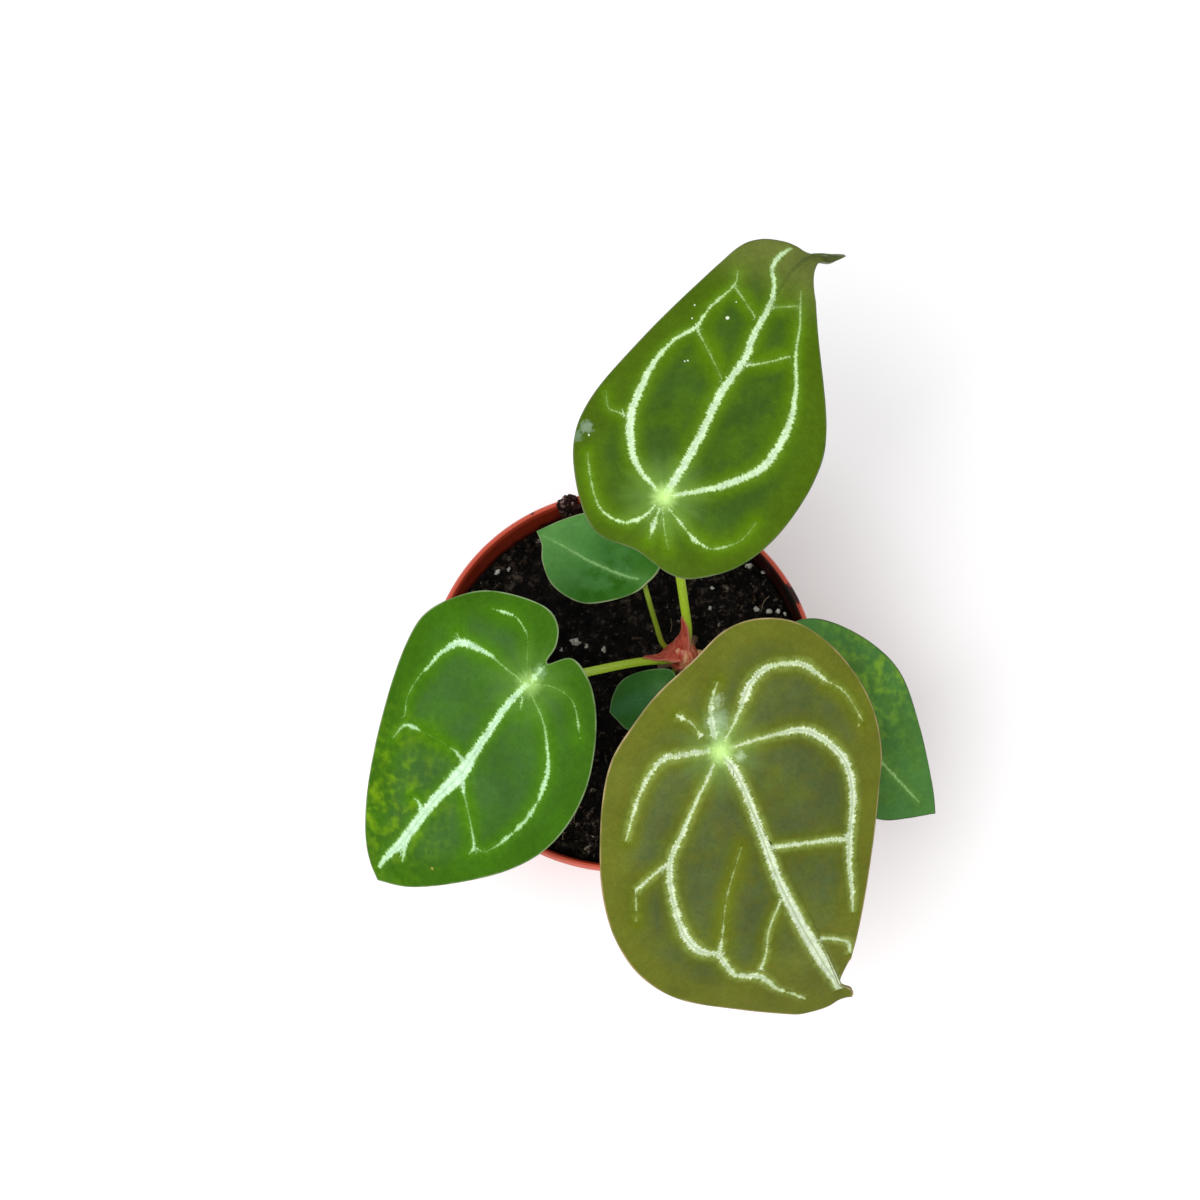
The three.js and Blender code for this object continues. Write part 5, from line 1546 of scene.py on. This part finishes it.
def beside_perlite(places):
    """Only those places that don't cover the perlite that lies in the open."""
    return [(x, y, z, size) for x, y, z, size in places
            if all(math.hypot(x - a, y - b) > size + grain for a, b, grain in OPEN_PERLITE)]


# a clod pushed up over the rim while potting: places and sizes of its lumps
RIM_CLUMP = [
    (-14.6, 46.6, 86, 4.0), (-15.0, 47.6, 90.2, 3.0), (-16.6, 48.6, 91.6, 1.9), (-14.2, 49.6, 91.7, 2.0),
    (-13.0, 47.8, 91.2, 2.0), (-15.6, 50.4, 92.0, 1.2)]


def clumped(count, draw):
    """The lumps of the clod, and crumbs stuck round it."""
    places = [(x, y, z, size * 0.95) for x, y, z, size in RIM_CLUMP]
    while len(places) < count:
        x, y, z, size = RIM_CLUMP[len(places) % len(RIM_CLUMP)]
        away = Vector([draw() - 0.5 for _ in range(3)]).normalized() * size * (0.85 + 0.2 * draw())
        crumb = 0.5 + 0.7 * draw()
        spot = Vector((x, y, z)) + away
        if math.hypot(spot.x, spot.y) < RIM_INSIDE - 0.6 - crumb or spot.z > POT_HEIGHT + crumb * 0.6:
            places.append((*spot, crumb))
    return places


# %% [markdown]
# Each kind of grain becomes one mesh, because thousands of separate objects would be slow to move and
# to export. The clod on the rim is a heap of rounder lumps with crumbs stuck to it.

# %% Crumbs, bark and perlite
# the clod is dark brown, and its pale pink colour is a painted highlight
CLUMP_BROWN_HIGHLIT = soil_material("clump_brown_highlit", (12, 6, 4), (44, 22, 17), (158, 130, 126), 0.35, 2.2)

draw = seeded(7)
bark_grains, perlite_grains = solid_grains()
crumb_shapes = [template(i, 1, 0.9, (1, 1, 0.8)) for i in range(5)]
clod_shapes = [template(60 + i, 3, 0.28, (1, 1, 0.95)) for i in range(4)]
bark_shapes = [template(20 + i, 2, 0.7, (1, 0.55, 0.3)) for i in range(4)]
perlite_shapes = [template(40 + i, 2, 0.65, (1, 0.9, 0.8)) for i in range(5)]
crumbs = beside_perlite(scattered(2300, 0.5, 2.3, draw, -0.05))
bark = bark_grains + beside_perlite(scattered(110, 0.8, 2.6, draw, 0.25))
fine_perlite = [p for p in scattered(120, 0.2, 0.7, draw, 0.4) if p[1] < SCATTER_BACK_EDGE]
grain_kinds = [
    ("soil_crumbs", crumb_shapes, crumbs, 0.75, False, CRUMB_DARK),
    ("rim_clump", clod_shapes, clumped(13, draw), 0.9, True, CLUMP_BROWN_HIGHLIT),
    ("bark_chips", bark_shapes, bark, 0.75, True, BARK_BROWN),
    ("perlite_grains", perlite_shapes, perlite_grains + fine_perlite, 0.7, True, PERLITE)]
for name, shapes, places, squash, smooth, material in grain_kinds:
    piece = repeat(name, shapes, [lying(*place, draw, squash) for place in places], smooth)
    wear(piece, material)
    settle(piece, "potting_mix")

# %% [markdown]
# Dry roots lie in arcs over the crumbs. Each is a thin tube of six sides: hair curves would be easier,
# but they are lost when the model is exported.

# %% Root fibres
# fibres that lie in the open: a row of points on the soil's surface
OPEN_FIBRES = [
    [(11.1, 21.1), (13.1, 19.6), (13.8, 17), (13.5, 14.5)], [(20.4, 17.1), (21.6, 15.7), (22.3, 14)],
    [(-10.6, 21.7), (-12.2, 19.6), (-13.6, 15.4)], [(40.7, 23.7), (39.2, 22), (38.5, 19.6)]]


def loose_line(reach):
    """The points of one dry root that curls over the soil from a random place."""
    x, y, _, _ = scattered(1, 1, 1, draw, 0)[0]
    heading, curl = 2 * math.pi * draw(), 1.6 * (draw() - 0.5)
    line = []
    for share in np.linspace(0, 1, 5):
        turn = heading + curl * share
        a, b = x + reach * share * math.cos(turn), y + reach * share * math.sin(turn)
        inward = min(1, (BED_EDGE_RADIUS - 1) / math.hypot(a, b))
        line.append((a * inward, b * inward))
    return line


def make_fibres(lines):
    """Thin dry roots that lie in arcs over the crumbs."""
    strands = bmesh.new()
    for line in lines:
        arch = 0.4 + 0.9 * draw()
        shares = np.linspace(0, 1, len(line))
        points = [(x, y, surface_at(x, y) + 0.9 + arch * math.sin(math.pi * share))
                  for (x, y), share in zip(line, shares)]
        thin = 0.1 + 0.07 * draw()
        strand = tube(evenly(centripetal(points, 6), 14), lambda along, turn: thin * (1.2 - 0.6 * along), 6)
        absorb(strands, strand)
    return finish_mesh(strands, "root_fibres")


loose = [line for line in (loose_line(2.5 + 5 * draw()) for _ in range(46)) if line[0][1] < SCATTER_BACK_EDGE]
fibres = make_fibres(OPEN_FIBRES + loose)
wear(fibres, FIBRE)
settle(fibres, "potting_mix")

# %% [markdown]
# ## Floor and light
# A plain pale floor and a bright even sky, with one soft light from the front, a little to the left,
# so that the only shadow that shows is a soft one to the right of the plant and behind it. The floor
# is bright enough to come out white everywhere else.

# %% Floor
FLOOR_HALF = 3.0
floor_bm = bmesh.new()
bmesh.ops.create_grid(floor_bm, x_segments=2, y_segments=2, size=FLOOR_HALF)
floor = finish_mesh(floor_bm, "floor")
floor_material, floor_graph, floor_shader = new_material("floor_pale", srgb(254, 254, 254))
floor_shader["Roughness"].default_value = 0.9
floor_shader["Specular IOR Level"].default_value = 0.0
floor_tone = uneven(floor_graph, srgb(254, 254, 255), floor_graph.here(), 400, 0.985, 1.0)
floor_graph.feed(floor_shader["Base Color"], floor_tone)
wear(floor, floor_material)
print("floor", 2 * FLOOR_HALF, "m wide")

# %% [markdown]
# The world fills the shadows evenly, and one large disc makes the soft one. The larger an area light
# is, the softer the edge of its shadow.

# %% Lights
SKY = 0.63
scene = bpy.context.scene
scene.view_settings.view_transform = "Standard"
world = bpy.data.worlds.new("studio")
world.use_nodes = True
world.node_tree.nodes["Background"].inputs[0].default_value = (1.0, 1.0, 1.0, 1.0)
world.node_tree.nodes["Background"].inputs[1].default_value = SKY
scene.world = world


def soft_light(name, place, target, size, power):
    data = bpy.data.lights.new(name, "AREA")
    data.shape = "DISK"
    data.size = size
    data.energy = power
    light = bpy.data.objects.new(name, data)
    light.location = place
    light.rotation_euler = (Vector(target) - Vector(place)).to_track_quat("-Z", "Y").to_euler()
    scene.collection.objects.link(light)


soft_light("key", (-0.28, -0.36, 1.22), (0, 0, 0.1), 0.66, 11.4)
print("sky", SKY)
